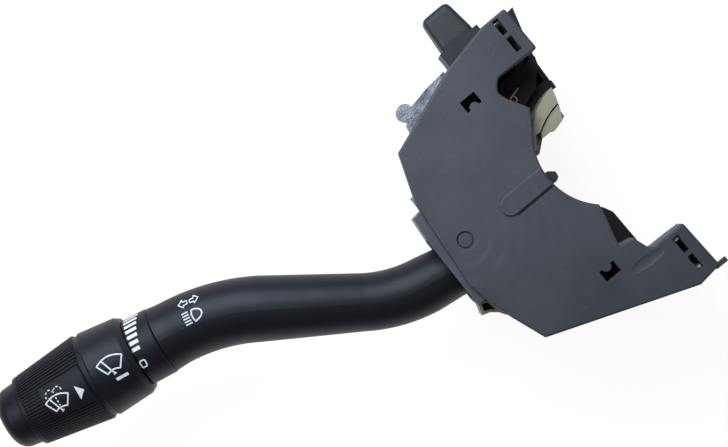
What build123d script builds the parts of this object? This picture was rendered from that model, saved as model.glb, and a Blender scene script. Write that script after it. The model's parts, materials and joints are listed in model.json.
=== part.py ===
from build123d import *
import math
import os

# Combination stalk switch for a steering column, in millimetres.
# Origin: the steering column's axis, in the plane of the mounting pads.
# +Z points at the driver, +Y up at the hazard button, and the stalk leaves towards -X.

# ---- levels along the column, from the mounting pads up ----
PAD_HEIGHT = 0.8  # mounting pads stand this far behind the bracket plate
BRACKET_THICK = 3.2
CARRIER_FLOOR = 1.6
COVER_TOP = 32.0
COVER_WALL = 2.2
SKIRT_DEPTH = 9.5
SKIRT_WALL = 1.8
HOUSING_DEPTH = 14.0  # rear housing behind the mounting plane
STALK_LEVEL = 15.0  # height of the stalk's axis

# ---- clearances ----
FIT = 0.05  # radial clearance of a running fit
SEAT = 0.02  # radial clearance of a pressed pin
GAP = 0.3  # clearance between loose neighbours

# ---- cover outline ----
MOUTH_RADIUS = 25.2  # open mouth that passes the column
MOUTH_FROM = 137.0  # degrees, where the mouth's arc starts and ends
MOUTH_TO = 226.5
ARM_END = 1.2  # outer end of both arms, along X
TOP_ARM_HIGH = 56.9
TOP_ARM_LOW = 38.6
LOW_ARM_HIGH = -42.3
LOW_ARM_LOW = -62.3
NOTCH = ((-18.8, 32.0), (-19.9, 35.5), (-16.5, TOP_ARM_LOW + 0.5))
LOW_CORNER = (-13.5, LOW_ARM_HIGH + 0.3)
FLANK_TOP = 41.6  # top corner of the stalk side
FLANK_LOW = -42.5
FLANK_BULGE = -71.2  # furthest the stalk side reaches along -X
EDGE_ROUND = 0.9
CORNER_ROUND = 0.9
WIDE_ROUND = 3.0  # the notch's corners and the low arm's inner corner

# ---- cover details ----
SLOT_WIDTH = 2.3
SLOT_LENGTH = 6.1
SLOT_BRIDGE = 1.7
SLOT_CENTRE = -4.2  # X of both arms' slots
LATCH_STEP = 0.7  # latch tip's centre from the slot's outer end
LATCH_HALF = (0.7, 0.45)
SLOT_WELL = 9.0  # depth of the carrier's well under the top arm's slots
TROUGH_RADIUS = 5.8  # shallow trough along the low arm
TROUGH_DEPTH = 0.4
TROUGH_REACH = 30.0  # half length of the spindle that presses the trough
TOP_SLOTS = 48.9  # Y of each arm's slot bridge
LOW_SLOTS = -51.8
WINDOW = (6.5, 4.6)
WINDOW_TOP = (-29.3, 38.8)
WINDOW_LOW = (-29.7, -39.0)
TONGUE_RADIUS = 1.9
BOSS_RADIUS = 2.5  # raised disc over the pivot
BOSS_GROOVE = 0.65
BOSS_SINK = 1.1
BOSS_DROP = 0.4
PAD_RAISE = 0.7  # long pad over the cancel pawl
PAWL_PAD_HALF = 4.0
PAWL_PAD_CENTRE = 1.5  # Y of the pad's centre line
PAWL_SLIT = 0.6

# ---- pivot, yoke and stalk root ----
PIVOT = (-62.1, 2.5)
PIVOT_RADIUS = 2.5
HUB_RADIUS = 5.5
STALK_LEAN = 11.35  # the root and the knob lean up from -X by this angle
ROOT_OFFSET = 8.2  # the root's axis passes this far below the pivot
ROOT_HALF_WIDTH = 4.0
ROOT_HALF_HEIGHT = 4.5
ROOT_INNER = -14.0  # inner end of the root bar, measured outward from the pivot
ROOT_SOCKET = 12.0  # how far the root bar enters the shell
CROSS_PIN_RADIUS = 2.0
CROSS_PIN_PLACE = -4.5
CROSS_PIN_ENDS = (2.0, 15.0)  # across the stalk's frame
CHEEK = 3.0
YOKE_FLOOR = 2.4
YOKE_END = 5.0
YOKE_BACK = -19.0
YOKE_LIFT = 0.4  # yoke floor above the carrier floor
DETENT_ARM = -23.5
DETENT_ARM_HALF = 3.6
PLUNGER_RADIUS = 2.2
PLUNGER_LENGTH = 14.0
PLUNGER_TIP = 27.5  # reach of the plunger's tip from the pivot
PLUNGER_BORE_END = -8.5
TURN_ANGLE = 11.0
TRACK_THICK = 3.4
TRACK_SPREAD = 21.0
TRACK_VALLEY = 0.8

# ---- stalk ----
SHOULDER = 7.5  # inner end of the stalk shell, outward from the pivot
ROOT_RADIUS = 10.0
TIP_RADIUS = 12.6
ROOT_RUN = 31.5  # pivot to the first bend's corner
RISE_RUN = 67.2  # between the two corners
RISE_ANGLE = 24.9
TIP_RUN = 21.5  # second corner to the scale ring
ROOT_BEND = 55.0
TIP_BEND = 75.0
LOW_BEND_RADIUS = 10.7
HIGH_BEND_RADIUS = 12.2

# ---- wiper knob, measured along its axis from the shell's end ----
RING_GAP = 0.25
SCALE_RING_LENGTH = 9.6
SCALE_RING_RADIUS = 12.9
POINTER_START_RADIUS = 14.2
POINTER_LIP = 2.2
POINTER_LIP_RADIUS = 15.5
POINTER_END_RADIUS = 16.7
POINTER_LENGTH = 16.4
COLLAR_LENGTH = 1.8
COLLAR_RADIUS = 16.1
GRIP_LENGTH = 26.6
GRIP_RADIUS = 17.0
GRIP_END_RADIUS = 13.7
GRIP_RIM = 1.6
RIB_COUNT = 64
RIB_DEPTH = 0.5
GRIP_PAD_LENGTH = 17.5
GRIP_PAD_WIDTH = 17.0
GRIP_PAD_RAISE = 0.3
KNOB_WALL = 2.2
KNOB_WEB = 11.0  # depth of the grip's web before the cap's bore
SPIGOT_RADIUS = 8.0
SPIGOT_ENTRY = 6.0
CLIP_THICK = 1.0
CLIP_RADIUS = 10.2
CLIP_GROOVE = 0.8
WIPER_BOARD_THICK = 1.0
WIPER_BOARD_RADIUS = 11.4

# ---- washer button in the knob's end ----
CAP_RADIUS = 12.1
CAP_PROUD = 9.2  # beyond the grip's rim
CAP_SKIRT = 9.0  # inside the grip
CAP_WALL = 2.4
CAP_ROUND = 5.2
CAP_TRAVEL = 2.5
STEM_RADIUS = 3.1
STEM_ENGAGE = 14.0
WASHER_COILS = 5
WASHER_COIL_RADIUS = 5.4
SPRING_WIRE = 0.8
COIL_SIDES = 12

# ---- hazard button ----
HAZARD_X = (-25.0, -11.3)
HAZARD_Z = (16.4, 28.2)
HAZARD_TOP = 72.5
HAZARD_REAR = 53.6
HAZARD_TAPER = 0.9
HAZARD_ROUND = 1.8
NOSE_SHARE = 0.8
HAZARD_NOSE = 2.4  # rounding around the button's face
COLLAR_Y = (47.8, 58.9)
COLLAR_WALL = 1.4
COLLAR_ROUND = 0.8
BLOCK_Y = (43.2, 46.2)
HAZARD_STEM_RADIUS = 2.4
HAZARD_STEM_END = 44.0
HAZARD_STEM_SEAT = 4.0
HAZARD_COILS = 4
HAZARD_COIL_RADIUS = 3.7

# ---- cancel pawl ----
PAWL_PIVOT = (-42.0, 1.6)
PAWL_PIN_RADIUS = 1.6
PAWL_HUB_RADIUS = 3.5
PAWL_THICK = 4.6
PAWL_HALF_WIDTH = 2.3
PAWL_NOSE = -21.6
PAWL_SWING = 5.5
PAWL_CLIP_THICK = 0.6
SPRING_POST = (-14.2, 29.7)
SPRING_POST_RADIUS = 0.8
RETURN_WIRE = 0.5
SPRING_TAIL = 4.5
POCKET_FLOOR = 9.0  # level of the black floor beside the mouth

# ---- stalk frame ----
FRAME_LOW = -18.4
LINTEL_THICK = 1.5
FRAME_HIGH = 20.4
FRAME_OUTER_LOW = -73.4
FRAME_OUTER_HIGH = -72.7
FRAME_INNER = -67.2
FRAME_OPEN = (-16.9, 10.6)
FRAME_SILL = 4.2

# ---- bracket and mounting ----
PAD_X = -48.0
PAD_Y = 38.0
PAD_RADIUS = 5.2
HOLE_RADIUS = 2.1
EAR = (-47.9, 51.8)
EAR_RADIUS = 3.5
DOWEL_RADIUS = 1.6
DOWEL_LENGTH = 4.0
BRACKET_INSET = 1.2
BRACKET_END = -27.0  # the bracket plate ends here along X
RIVET_RADIUS = 1.4
RIVET_HEAD = 2.4
RIVET_HEAD_HEIGHT = 0.9
RIVET_SPOTS = ((-56.0, -32.0), (-41.0, -43.5), (-56.0, 32.0), (-41.0, 41.9))

# ---- rear housing and connectors ----
HOUSING_WALL = 2.0
HOUSING_LEFT = -36.0
REAR_MOUTH_RADIUS = 26.0
MAIN_PLUG = (-23.6, -38.2)  # centre of each connector
MAIN_PLUG_SIZE = (17.0, 22.0)
MAIN_PLUG_DEPTH = 12.0
MAIN_PLUG_PINS = (2, 5)
SIDE_PLUG = (-23.6, 38.6)
SIDE_PLUG_SIZE = (14.0, 15.0)
SIDE_PLUG_DEPTH = 10.0
SIDE_PLUG_PINS = (2, 3)
PLUG_WALL = 1.5
PIN_PITCH = 3.8
PIN_SIZE = (1.4, 0.7)
SCREW_RADIUS = 1.4
SCREW_HEAD = 2.9
SCREW_HEAD_HEIGHT = 2.0
SCREW_SPOTS = ((-31.0, 22.0), (-2.5, 50.5), (-31.0, -22.0), (-2.0, -54.5))

# ---- column guide, the nylon wall in the mouth ----
GUIDE_RADIUS = 24.7
GUIDE_FROM = 96.8
GUIDE_TO = 141.0
GUIDE_TOP = 26.0
GUIDE_INNER_CENTRE = (-2.2, -6.8)
GUIDE_INNER_RADIUS = 25.7
GUIDE_BLOCK_TOP = 18.0
GUIDE_LIP = 23.6  # inner radius of the strip that edges the cover's mouth
GUIDE_LIP_TO = 154.0
LEDGE = (23.2, 26.6)  # ring of the rear housing that the guide stands on

# ---- levels worked out from the above ----
PLATE_TOP = PAD_HEIGHT + BRACKET_THICK
FLOOR_TOP = PLATE_TOP + CARRIER_FLOOR
COVER_UNDER = COVER_TOP - COVER_WALL
FRAME_LINTEL = COVER_UNDER - LINTEL_THICK
SKIRT_FOOT = COVER_TOP - SKIRT_DEPTH
CARRIER_TOP = COVER_UNDER
YOKE_BASE = FLOOR_TOP + YOKE_LIFT
CARRIER_WALL = 1.6
CARRIER_INSET = SKIRT_WALL + GAP
PAWL_TOP = COVER_UNDER - GAP
LUG_TOP = 20.0  # carrier's lug beside the stalk frame
LUG_FLOOR = 8.0
LUG_POINTS = [
    (-72.8, -18.7), (-74.4, -23.1), (-71.5, -24.0), (-69.0, -26.1), (-67.4, -28.7),
    (-65.0, -27.0), (-65.0, -18.7),
]
LUG_HOLE = [(-72.9, -22.3), (-72.0, -19.9), (-70.0, -20.6), (-69.2, -24.4), (-70.8, -23.2)]
PAWL_FOOT = PAWL_TOP - PAWL_THICK

# ---- stations along the knob's axis ----
SCALE_RING_AT = RING_GAP
POINTER_AT = SCALE_RING_AT + SCALE_RING_LENGTH + RING_GAP
COLLAR_AT = POINTER_AT + POINTER_LENGTH
GRIP_AT = COLLAR_AT + COLLAR_LENGTH
GRIP_END = GRIP_AT + GRIP_LENGTH
CAP_BORE_AT = GRIP_AT + KNOB_WEB
CLIP_AT = CAP_BORE_AT + 0.2
SPIGOT_END = CLIP_AT + CLIP_THICK + CLIP_GROOVE
CAP_END = GRIP_END + CAP_PROUD
CAP_FLOOR = CAP_END - CAP_WALL
STEM_END = SPIGOT_END - STEM_ENGAGE

UP = (0, 0, 1)
LEAN = math.radians(STALK_LEAN)
# The stalk's own frame: origin at the pivot and on the stalk's level, +X outward along
# the root, +Y across it and away from the hazard button.
SWITCH = Plane(
    origin=(PIVOT[0], PIVOT[1], STALK_LEVEL),
    x_dir=(-math.cos(LEAN), math.sin(LEAN), 0),
    z_dir=UP,
).location


# ---- helpers ----
def block(x, y, z):
    """A box between two values on each axis."""
    size = (x[1] - x[0], y[1] - y[0], z[1] - z[0])
    middle = Pos((x[0] + x[1]) / 2, (y[0] + y[1]) / 2, (z[0] + z[1]) / 2)
    return middle * Box(*size)


def disc(centre, radius, low, high):
    """An upright cylinder between two levels."""
    return Pos(centre[0], centre[1], (low + high) / 2) * Cylinder(radius, high - low)


def prism(points, low, high):
    """An upright prism over a closed polygon."""
    face = make_face(Polyline(*points, close=True))
    return Pos(0, 0, low) * extrude(face, high - low, dir=UP)


def slab(face, low, high):
    """A flat sketch raised between two levels."""
    return Pos(0, 0, low) * extrude(face, high - low, dir=UP)


def turned(points):
    """A profile of (along, radius) points revolved about the X axis."""
    return revolve(make_face(Polyline(*points, close=True)), Axis.X)


def along_x(radius, start, end):
    """A cylinder lying on the X axis."""
    return turned([(start, 0), (end, 0), (end, radius), (start, radius)])


def washer_along_x(inner, outer, start, end):
    """A ring lying on the X axis."""
    return turned([(start, inner), (end, inner), (end, outer), (start, outer)])


def around(radius, degrees):
    """A point on a circle about the column's axis."""
    angle = math.radians(degrees)
    return (radius * math.cos(angle), radius * math.sin(angle))


def wire_along(points, wire):
    """A square wire bent through points."""
    path = Polyline(*points)
    section = Plane(origin=points[0], x_dir=UP, z_dir=path % 0) * Rectangle(wire, wire)
    return sweep(section, path=path, transition=Transition.RIGHT)


def coil(radius, wire, length, turns):
    """A compression spring on the Z axis from 0 up to its length, of square wire."""
    steps = turns * COIL_SIDES
    rise = length - wire
    points = []
    for index in range(steps + 1):
        angle = 2 * math.pi * index / COIL_SIDES
        points.append((radius * math.cos(angle), radius * math.sin(angle), rise * index / steps))
    return Pos(0, 0, wire / 2) * wire_along(points, wire)


def write(shape, node):
    """Writes one node."""
    export_step(shape, f"parts/{node}.step")


# ---- outlines ----
def cover_outline():
    """The C-shaped outline that the cover, carrier and bracket share."""
    corners = [
        around(MOUTH_RADIUS, MOUTH_FROM),
        around(MOUTH_RADIUS + 2.5, 121.1),
        *NOTCH,
        (ARM_END, TOP_ARM_LOW),
        (ARM_END, TOP_ARM_HIGH),
        (-9.7, TOP_ARM_HIGH),
        (-28.2, 53.1),
        (-60.5, FLANK_TOP),
        (-67.6, 23.1),
        (FLANK_BULGE, -11.0),
        (-70.1, -18.0),
        (-67.2, -28.8),
        (-62.4, FLANK_LOW),
        (-7.8, LOW_ARM_LOW - 1.1),
        (ARM_END + 0.7, LOW_ARM_LOW),
        (ARM_END, LOW_ARM_HIGH),
        LOW_CORNER,
        (-15.6, -35.2),
        (-21.3, -33.8),
        around(MOUTH_RADIUS + 1.1, 228.1),
        around(MOUTH_RADIUS, MOUTH_TO),
    ]
    mouth = ThreePointArc(
        around(MOUTH_RADIUS, MOUTH_TO),
        around(MOUTH_RADIUS, (MOUTH_FROM + MOUTH_TO) / 2),
        around(MOUTH_RADIUS, MOUTH_FROM),
    )
    return make_face(Polyline(*corners) + mouth)


def rounded_outline():
    """The cover's outline with its corners rounded, some of them wider."""
    outline = cover_outline()
    wide = [v for v in outline.vertices() if is_at(v, (*NOTCH, LOW_CORNER))]
    narrow = [(v.X, v.Y) for v in outline.vertices() if not is_at(v, (*NOTCH, LOW_CORNER))]
    outline = fillet(wide, WIDE_ROUND)
    return fillet([v for v in outline.vertices() if is_at(v, narrow)], CORNER_ROUND)


def is_at(vertex, spots):
    """Says whether a vertex lies on one of the spots."""
    return any(math.dist((vertex.X, vertex.Y), spot) < 0.01 for spot in spots)


def inset_outline(distance):
    """The cover's outline moved inwards."""
    return offset(cover_outline(), -distance, kind=Kind.INTERSECTION)


def housing_outline():
    """The rear housing's outline: a C that follows the column."""
    corners = [
        around(REAR_MOUTH_RADIUS, 87),
        (1.9, 35.0),
        (6.2, 50.0),
        (8.2, 56.6),
        (HOUSING_LEFT + 9, 53.5),
        (HOUSING_LEFT, 49.5),
        (HOUSING_LEFT, -50.5),
        (-10.0, -60.0),
        (4.0, -58.5),
        (4.0, -46.8),
        (-11.6, -46.8),
        (-11.8, -26.0),
        around(REAR_MOUTH_RADIUS, 238),
    ]
    mouth = ThreePointArc(
        around(REAR_MOUTH_RADIUS, 238),
        around(REAR_MOUTH_RADIUS, 162.5),
        around(REAR_MOUTH_RADIUS, 87),
    )
    return make_face(Polyline(*corners) + mouth)


# ---- front cover ----
def stalk_gate(margin):
    """The space on the stalk side that the stalk frame fills."""
    return block(
        (FLANK_BULGE - 6, FRAME_INNER),
        (FRAME_LOW - margin, FRAME_HIGH + margin),
        (PAD_HEIGHT - 1, COVER_UNDER),
    )


def hazard_gate(margin):
    """The space in the top arm that the hazard collar fills."""
    return block(
        (HAZARD_X[0] - COLLAR_WALL - GAP - margin, HAZARD_X[1] + COLLAR_WALL + GAP + margin),
        (COLLAR_Y[0] - margin, COLLAR_Y[1] + 9),
        (HAZARD_Z[0] - COLLAR_WALL - GAP - margin, COVER_UNDER),
    )


def pawl_gate():
    """The notch in the mouth's walls that the cancel pawl swings in."""
    reach = (PAWL_NOSE - PAWL_PIVOT[0]) * math.sin(math.radians(PAWL_SWING))
    half = PAWL_HALF_WIDTH + reach + 2 * GAP
    return block(
        (-MOUTH_RADIUS - 4, -MOUTH_RADIUS + 8),
        (-half, half + 1),
        (PAWL_FOOT - 3 * GAP, COVER_UNDER),
    )


def arm_slots(centre):
    """A pair of slots in line across one arm."""
    step = (SLOT_LENGTH + SLOT_BRIDGE) / 2
    depth = (COVER_UNDER - 1, COVER_TOP + 1)
    x = (SLOT_CENTRE - SLOT_WIDTH / 2, SLOT_CENTRE + SLOT_WIDTH / 2)
    pair = []
    for side in (-1, 1):
        middle = centre + side * step
        y = (middle - SLOT_LENGTH / 2, middle + SLOT_LENGTH / 2)
        pair.append(block(x, y, depth))
    return pair


def window(centre, side):
    """A snap window with a round tongue that enters it from one side."""
    width, height = WINDOW
    opening = block(
        (centre[0] - width / 2, centre[0] + width / 2),
        (centre[1] - height / 2, centre[1] + height / 2),
        (COVER_UNDER - 1, COVER_TOP + 1),
    )
    root = (centre[0], centre[1] + side * (height / 2))
    tongue = disc(root, TONGUE_RADIUS, COVER_UNDER - 2, COVER_TOP + 2)
    return opening - tongue


def pawl_pad(grow, low, high):
    """The long pad with one round end that covers the cancel pawl."""
    half = PAWL_PAD_HALF + grow
    centre = (PAWL_PIVOT[0], PAWL_PAD_CENTRE)
    bar = block((centre[0], 0), (centre[1] - half, centre[1] + half), (low, high))
    return disc(centre, half, low, high) + bar


def front_cover():
    """The moulded cover: plate, skirts, slots, windows, boss and pads."""
    outline = rounded_outline()
    plate = slab(outline, COVER_UNDER, COVER_TOP)
    rim = plate.faces().sort_by(Axis.Z)[-1].edges()
    plate = fillet(rim, EDGE_ROUND)
    skirt = slab(outline, SKIRT_FOOT, COVER_UNDER) - slab(
        inset_outline(SKIRT_WALL), SKIRT_FOOT - 1, COVER_UNDER
    )
    skirt = skirt - stalk_gate(GAP) - hazard_gate(GAP) - pawl_gate()
    cover = plate + skirt
    pad = pawl_pad(0, COVER_TOP - 1, COVER_TOP + PAD_RAISE)
    pad = chamfer(pad.faces().sort_by(Axis.Z)[-1].edges(), PAD_RAISE * 0.9)
    sleeve = slab(inset_outline(EDGE_ROUND + 0.1), COVER_TOP - 1, COVER_TOP + 2)
    cover = cover + (pad & sleeve)
    slit_y = PAWL_PAD_CENTRE - PAWL_PAD_HALF
    cover = cover - block(
        (PAWL_PIVOT[0], 0),
        (slit_y - PAWL_SLIT, slit_y),
        (COVER_TOP - PAWL_SLIT, COVER_TOP + 2),
    )
    groove = disc(PIVOT, BOSS_RADIUS + BOSS_GROOVE, COVER_TOP - BOSS_SINK, COVER_TOP + 1)
    cover = cover - groove + disc(PIVOT, BOSS_RADIUS, COVER_TOP - BOSS_SINK - 0.2, COVER_TOP - BOSS_DROP)
    cover = cover - arm_slots(TOP_SLOTS) - arm_slots(LOW_SLOTS)
    cover = cover - window(WINDOW_TOP, -1) - window(WINDOW_LOW, 1)
    for y in (-30.0, 30.0):
        rib = block((-58, -36), (y - 0.6, y + 0.6), (COVER_UNDER - 3, COVER_UNDER + 0.5))
        cover = cover + rib
    cover = cover + disc(
        PAWL_PIVOT, PAWL_PIN_RADIUS, PAWL_FOOT - PAWL_CLIP_THICK - 0.6, COVER_UNDER + 0.5
    )
    tab = block(
        (ARM_END - 1, ARM_END + 3.9),
        (LOW_ARM_LOW - 0.6, LOW_ARM_LOW + 1.2),
        (COVER_UNDER, COVER_TOP - 0.4),
    )
    ends = ((-TROUGH_REACH, 0), (TROUGH_REACH, 0))
    profile = make_face(ThreePointArc(ends[0], (0, TROUGH_RADIUS), ends[1]) + Line(ends[1], ends[0]))
    spindle = Rot(0, 0, -4) * revolve(profile, Axis.X)
    trough = Pos(-17.0, -44.6, COVER_TOP + TROUGH_RADIUS - TROUGH_DEPTH) * spindle
    cover = cover + tab - trough
    return cover - block((-5.7, -2.7), (-45.9, -44.3), (COVER_TOP - 0.6, COVER_TOP + 1))


# ---- contact carrier ----
def contact_carrier():
    """The nylon tray under the cover: floor, walls and latch tips."""
    outer = slab(inset_outline(CARRIER_INSET), PLATE_TOP, CARRIER_TOP)
    hollow = slab(inset_outline(CARRIER_INSET + CARRIER_WALL), FLOOR_TOP, CARRIER_TOP + 1)
    tray = outer - hollow
    tray = tray - stalk_gate(GAP) - hazard_gate(GAP) - pawl_gate()
    tray = tray - disc(PIVOT, PIVOT_RADIUS + SEAT, PLATE_TOP - 1, FLOOR_TOP + 1)
    sweep = (FRAME_OPEN[0] - 1, FRAME_OPEN[1] + 1)
    tray = tray - block((FLANK_BULGE - 6, PIVOT[0] - 1.9), sweep, (FLOOR_TOP, CARRIER_TOP + 1))
    tray = tray - block((FLANK_BULGE - 6, PIVOT[0] - 4), sweep, (PLATE_TOP - 1, FLOOR_TOP + 1))
    tray = tray - hazard_rod(HAZARD_STEM_RADIUS + GAP, TOP_ARM_LOW, COLLAR_Y[1])
    for spot in RIVET_SPOTS:
        tray = tray - disc(spot, RIVET_RADIUS + SEAT, PLATE_TOP - 1, FLOOR_TOP + 1)
    for spot in SCREW_SPOTS:
        post = disc(spot, SCREW_RADIUS + 1.6, PLATE_TOP, PLATE_TOP + 8)
        tray = tray + post - disc(spot, SCREW_RADIUS + SEAT, PLATE_TOP - 1, PLATE_TOP + 7)
    for side in (-1, 1):
        y = LOW_SLOTS + side * (SLOT_BRIDGE / 2 + SLOT_LENGTH - LATCH_STEP)
        tip = block(
            (SLOT_CENTRE - LATCH_HALF[0], SLOT_CENTRE + LATCH_HALF[0]),
            (y - LATCH_HALF[1], y + LATCH_HALF[1]),
            (FLOOR_TOP - 0.5, COVER_TOP - 1.2),
        )
        tray = tray + tip
    reach = SLOT_BRIDGE / 2 + SLOT_LENGTH + GAP
    well = block(
        (SLOT_CENTRE - SLOT_WIDTH / 2 - GAP, SLOT_CENTRE + SLOT_WIDTH / 2 + GAP),
        (TOP_SLOTS - reach, TOP_SLOTS + reach),
        (COVER_UNDER - SLOT_WELL, CARRIER_TOP + 1),
    )
    tray = tray - well
    lug = prism(LUG_POINTS, PLATE_TOP, LUG_TOP)
    tray = tray + lug - prism(LUG_HOLE, LUG_FLOOR, LUG_TOP + 1)
    return tray


def mouth_sector(inner, outer, start, end):
    """A ring sector about the column's axis."""
    middle = (start + end) / 2
    far = ThreePointArc(around(outer, start), around(outer, middle), around(outer, end))
    near = ThreePointArc(around(inner, end), around(inner, middle), around(inner, start))
    sides = Line(far @ 1, near @ 0) + Line(near @ 1, far @ 0)
    return make_face(far + near + sides)


def column_guide():
    """The nylon wall that lines the mouth, with the lower block inside it."""
    wall_points = [
        around(GUIDE_RADIUS, GUIDE_FROM),
        (-4.6, 18.8),
        (-16.3, 14.7),
        around(GUIDE_RADIUS - 1.0, GUIDE_TO),
        around(GUIDE_RADIUS, GUIDE_TO),
    ]
    outer = ThreePointArc(
        wall_points[4],
        around(GUIDE_RADIUS, (GUIDE_FROM + GUIDE_TO) / 2),
        wall_points[0],
    )
    inner_middle = (
        GUIDE_INNER_CENTRE[0] + GUIDE_INNER_RADIUS * math.cos(math.radians(109)),
        GUIDE_INNER_CENTRE[1] + GUIDE_INNER_RADIUS * math.sin(math.radians(109)),
    )
    inner = ThreePointArc(wall_points[1], inner_middle, wall_points[2])
    outline = Line(wall_points[0], wall_points[1]) + inner
    outline = outline + Polyline(*wall_points[2:]) + outer
    wall = slab(make_face(outline), PLATE_TOP, GUIDE_TOP)
    foot = prism(
        [(-4.6, 18.4), (-5.0, 13.3), (-10.1, 11.9), (-11.2, 12.3), (-16.0, 12.4),
         (-20.6, 8.6), (-22.4, 8.6), (-16.3, 14.2), (-10.6, 17.0)],
        PLATE_TOP,
        GUIDE_BLOCK_TOP,
    )
    link = prism(
        [(-4.6, 19.0), (-4.9, 16.0), (-15.0, 13.6), (-17.5, 15.5)], PLATE_TOP, GUIDE_BLOCK_TOP - 1.5
    )
    lip = slab(mouth_sector(GUIDE_LIP, GUIDE_RADIUS, GUIDE_TO - 3, GUIDE_LIP_TO), 12, GUIDE_TOP)
    return wall + foot + link + lip


# ---- bracket ----
def mounting_bracket():
    """The die-cast plate with pads, ear, dowel and pivot seat."""
    plate = slab(inset_outline(BRACKET_INSET), PAD_HEIGHT, PLATE_TOP)
    plate = plate - block((BRACKET_END, 20), (-80, 80), (PAD_HEIGHT - 1, PLATE_TOP + 1))
    shelf = prism(
        [(-52.0, 42.0), (-50.7, 48.0), (-43.2, 52.4), (-36.2, 53.8), (BRACKET_END, 54.6),
         (BRACKET_END, 42.0)],
        PAD_HEIGHT,
        PLATE_TOP,
    )
    ear = disc(EAR, EAR_RADIUS, PAD_HEIGHT, PLATE_TOP)
    neck = prism([(-51.0, 46.5), EAR, (-43.0, 52.5), (-42.0, 46.0)], PAD_HEIGHT, PLATE_TOP)
    plate = plate + shelf + ear + neck
    plate = plate - block(
        (FLANK_BULGE - 6, FRAME_INNER), (FRAME_LOW - GAP, FRAME_HIGH + GAP), (0, PLATE_TOP + 1)
    )
    for side in (-1, 1):
        spot = (PAD_X, side * PAD_Y)
        plate = plate + disc(spot, PAD_RADIUS, 0, PAD_HEIGHT + 0.5)
        plate = plate - disc(spot, HOLE_RADIUS, -1, PLATE_TOP + 1)
    plate = plate + disc(EAR, DOWEL_RADIUS, -DOWEL_LENGTH, PAD_HEIGHT + 0.5)
    for x in (-66.0, -58.0, -50.0, -42.0):
        rib = block((x - 0.9, x + 0.9), (-26.0, 26.0), (PAD_HEIGHT - 2.4, PAD_HEIGHT + 0.5))
        plate = plate + rib
    plate = plate - disc(PIVOT, PIVOT_RADIUS + SEAT, -4, PLATE_TOP + 1)
    plate = plate - disc(PIVOT, PIVOT_RADIUS + 2.4, -4, PAD_HEIGHT)
    for spot in SCREW_SPOTS:
        plate = plate - disc(spot, SCREW_RADIUS + GAP, -4, PLATE_TOP + 1)
    for spot in RIVET_SPOTS:
        plate = plate - disc(spot, RIVET_RADIUS + SEAT, -4, PLATE_TOP + 1)
        plate = plate - disc(spot, RIVET_HEAD + 0.3, -4, PAD_HEIGHT)
    return plate


def bracket_rivets():
    """Rivets that hold the carrier's floor to the bracket."""
    rivets = []
    for spot in RIVET_SPOTS:
        shank = disc(spot, RIVET_RADIUS, PAD_HEIGHT - RIVET_HEAD_HEIGHT, FLOOR_TOP + RIVET_HEAD_HEIGHT)
        back = disc(spot, RIVET_HEAD, PAD_HEIGHT - RIVET_HEAD_HEIGHT, PAD_HEIGHT)
        front = disc(spot, RIVET_HEAD, FLOOR_TOP, FLOOR_TOP + RIVET_HEAD_HEIGHT)
        rivets.append((shank + back + front).solid())
    return Compound(rivets)


def pivot_pin():
    """The steel pin that the yoke turns on, headed behind the bracket."""
    shank = disc(PIVOT, PIVOT_RADIUS, PAD_HEIGHT - 1.2, COVER_UNDER - 0.1)
    return shank + disc(PIVOT, PIVOT_RADIUS + 2.0, PAD_HEIGHT - 1.2, PAD_HEIGHT)


def stalk_frame():
    """The moulded frame that the stalk comes out of."""
    sides = prism(
        [
            (FRAME_INNER, FRAME_LOW),
            (FRAME_OUTER_LOW, FRAME_LOW),
            (FRAME_OUTER_HIGH, 9.0),
            (-71.5, FRAME_HIGH - 0.6),
            (FRAME_INNER, FRAME_HIGH),
        ],
        PAD_HEIGHT,
        COVER_UNDER,
    )
    return sides - block((-80, -60), FRAME_OPEN, (FRAME_SILL, FRAME_LINTEL))


# ---- rear housing ----
def plug_shroud(centre, size, depth):
    """A connector's walls, open to the rear, on the housing's back."""
    wide, tall = size
    outer = block(
        (centre[0] - wide / 2, centre[0] + wide / 2),
        (centre[1] - tall / 2, centre[1] + tall / 2),
        (-HOUSING_DEPTH - depth, -HOUSING_DEPTH),
    )
    outer = fillet(outer.edges().filter_by(Axis.Z), 1.2)
    inner = block(
        (centre[0] - wide / 2 + PLUG_WALL, centre[0] + wide / 2 - PLUG_WALL),
        (centre[1] - tall / 2 + PLUG_WALL, centre[1] + tall / 2 - PLUG_WALL),
        (-HOUSING_DEPTH - depth - 1, -HOUSING_DEPTH - 1.2),
    )
    latch = block(
        (centre[0] + wide / 2 - 0.3, centre[0] + wide / 2 + 1.2),
        (centre[1] - 2.5, centre[1] + 2.5),
        (-HOUSING_DEPTH - depth + 2, -HOUSING_DEPTH),
    )
    return outer + latch - inner


def pin_places(centre, counts):
    """Where a connector's pins stand."""
    columns, rows = counts
    places = []
    for column in range(columns):
        for row in range(rows):
            x = centre[0] + (column - (columns - 1) / 2) * PIN_PITCH * 1.4
            y = centre[1] + (row - (rows - 1) / 2) * PIN_PITCH
            places.append((x, y))
    return places


def plug_pins(centre, counts, depth, grow=0.0):
    """Flat blades that run through the housing's back into a connector."""
    half_x = PIN_SIZE[1] / 2 + grow
    half_y = PIN_SIZE[0] / 2 + grow
    low = -HOUSING_DEPTH - depth + 3
    high = -HOUSING_DEPTH + HOUSING_WALL + 1.5
    pins = []
    for x, y in pin_places(centre, counts):
        pin = block((x - half_x, x + half_x), (y - half_y, y + half_y), (low, high))
        pins.append(pin.solid())
    return pins


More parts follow.
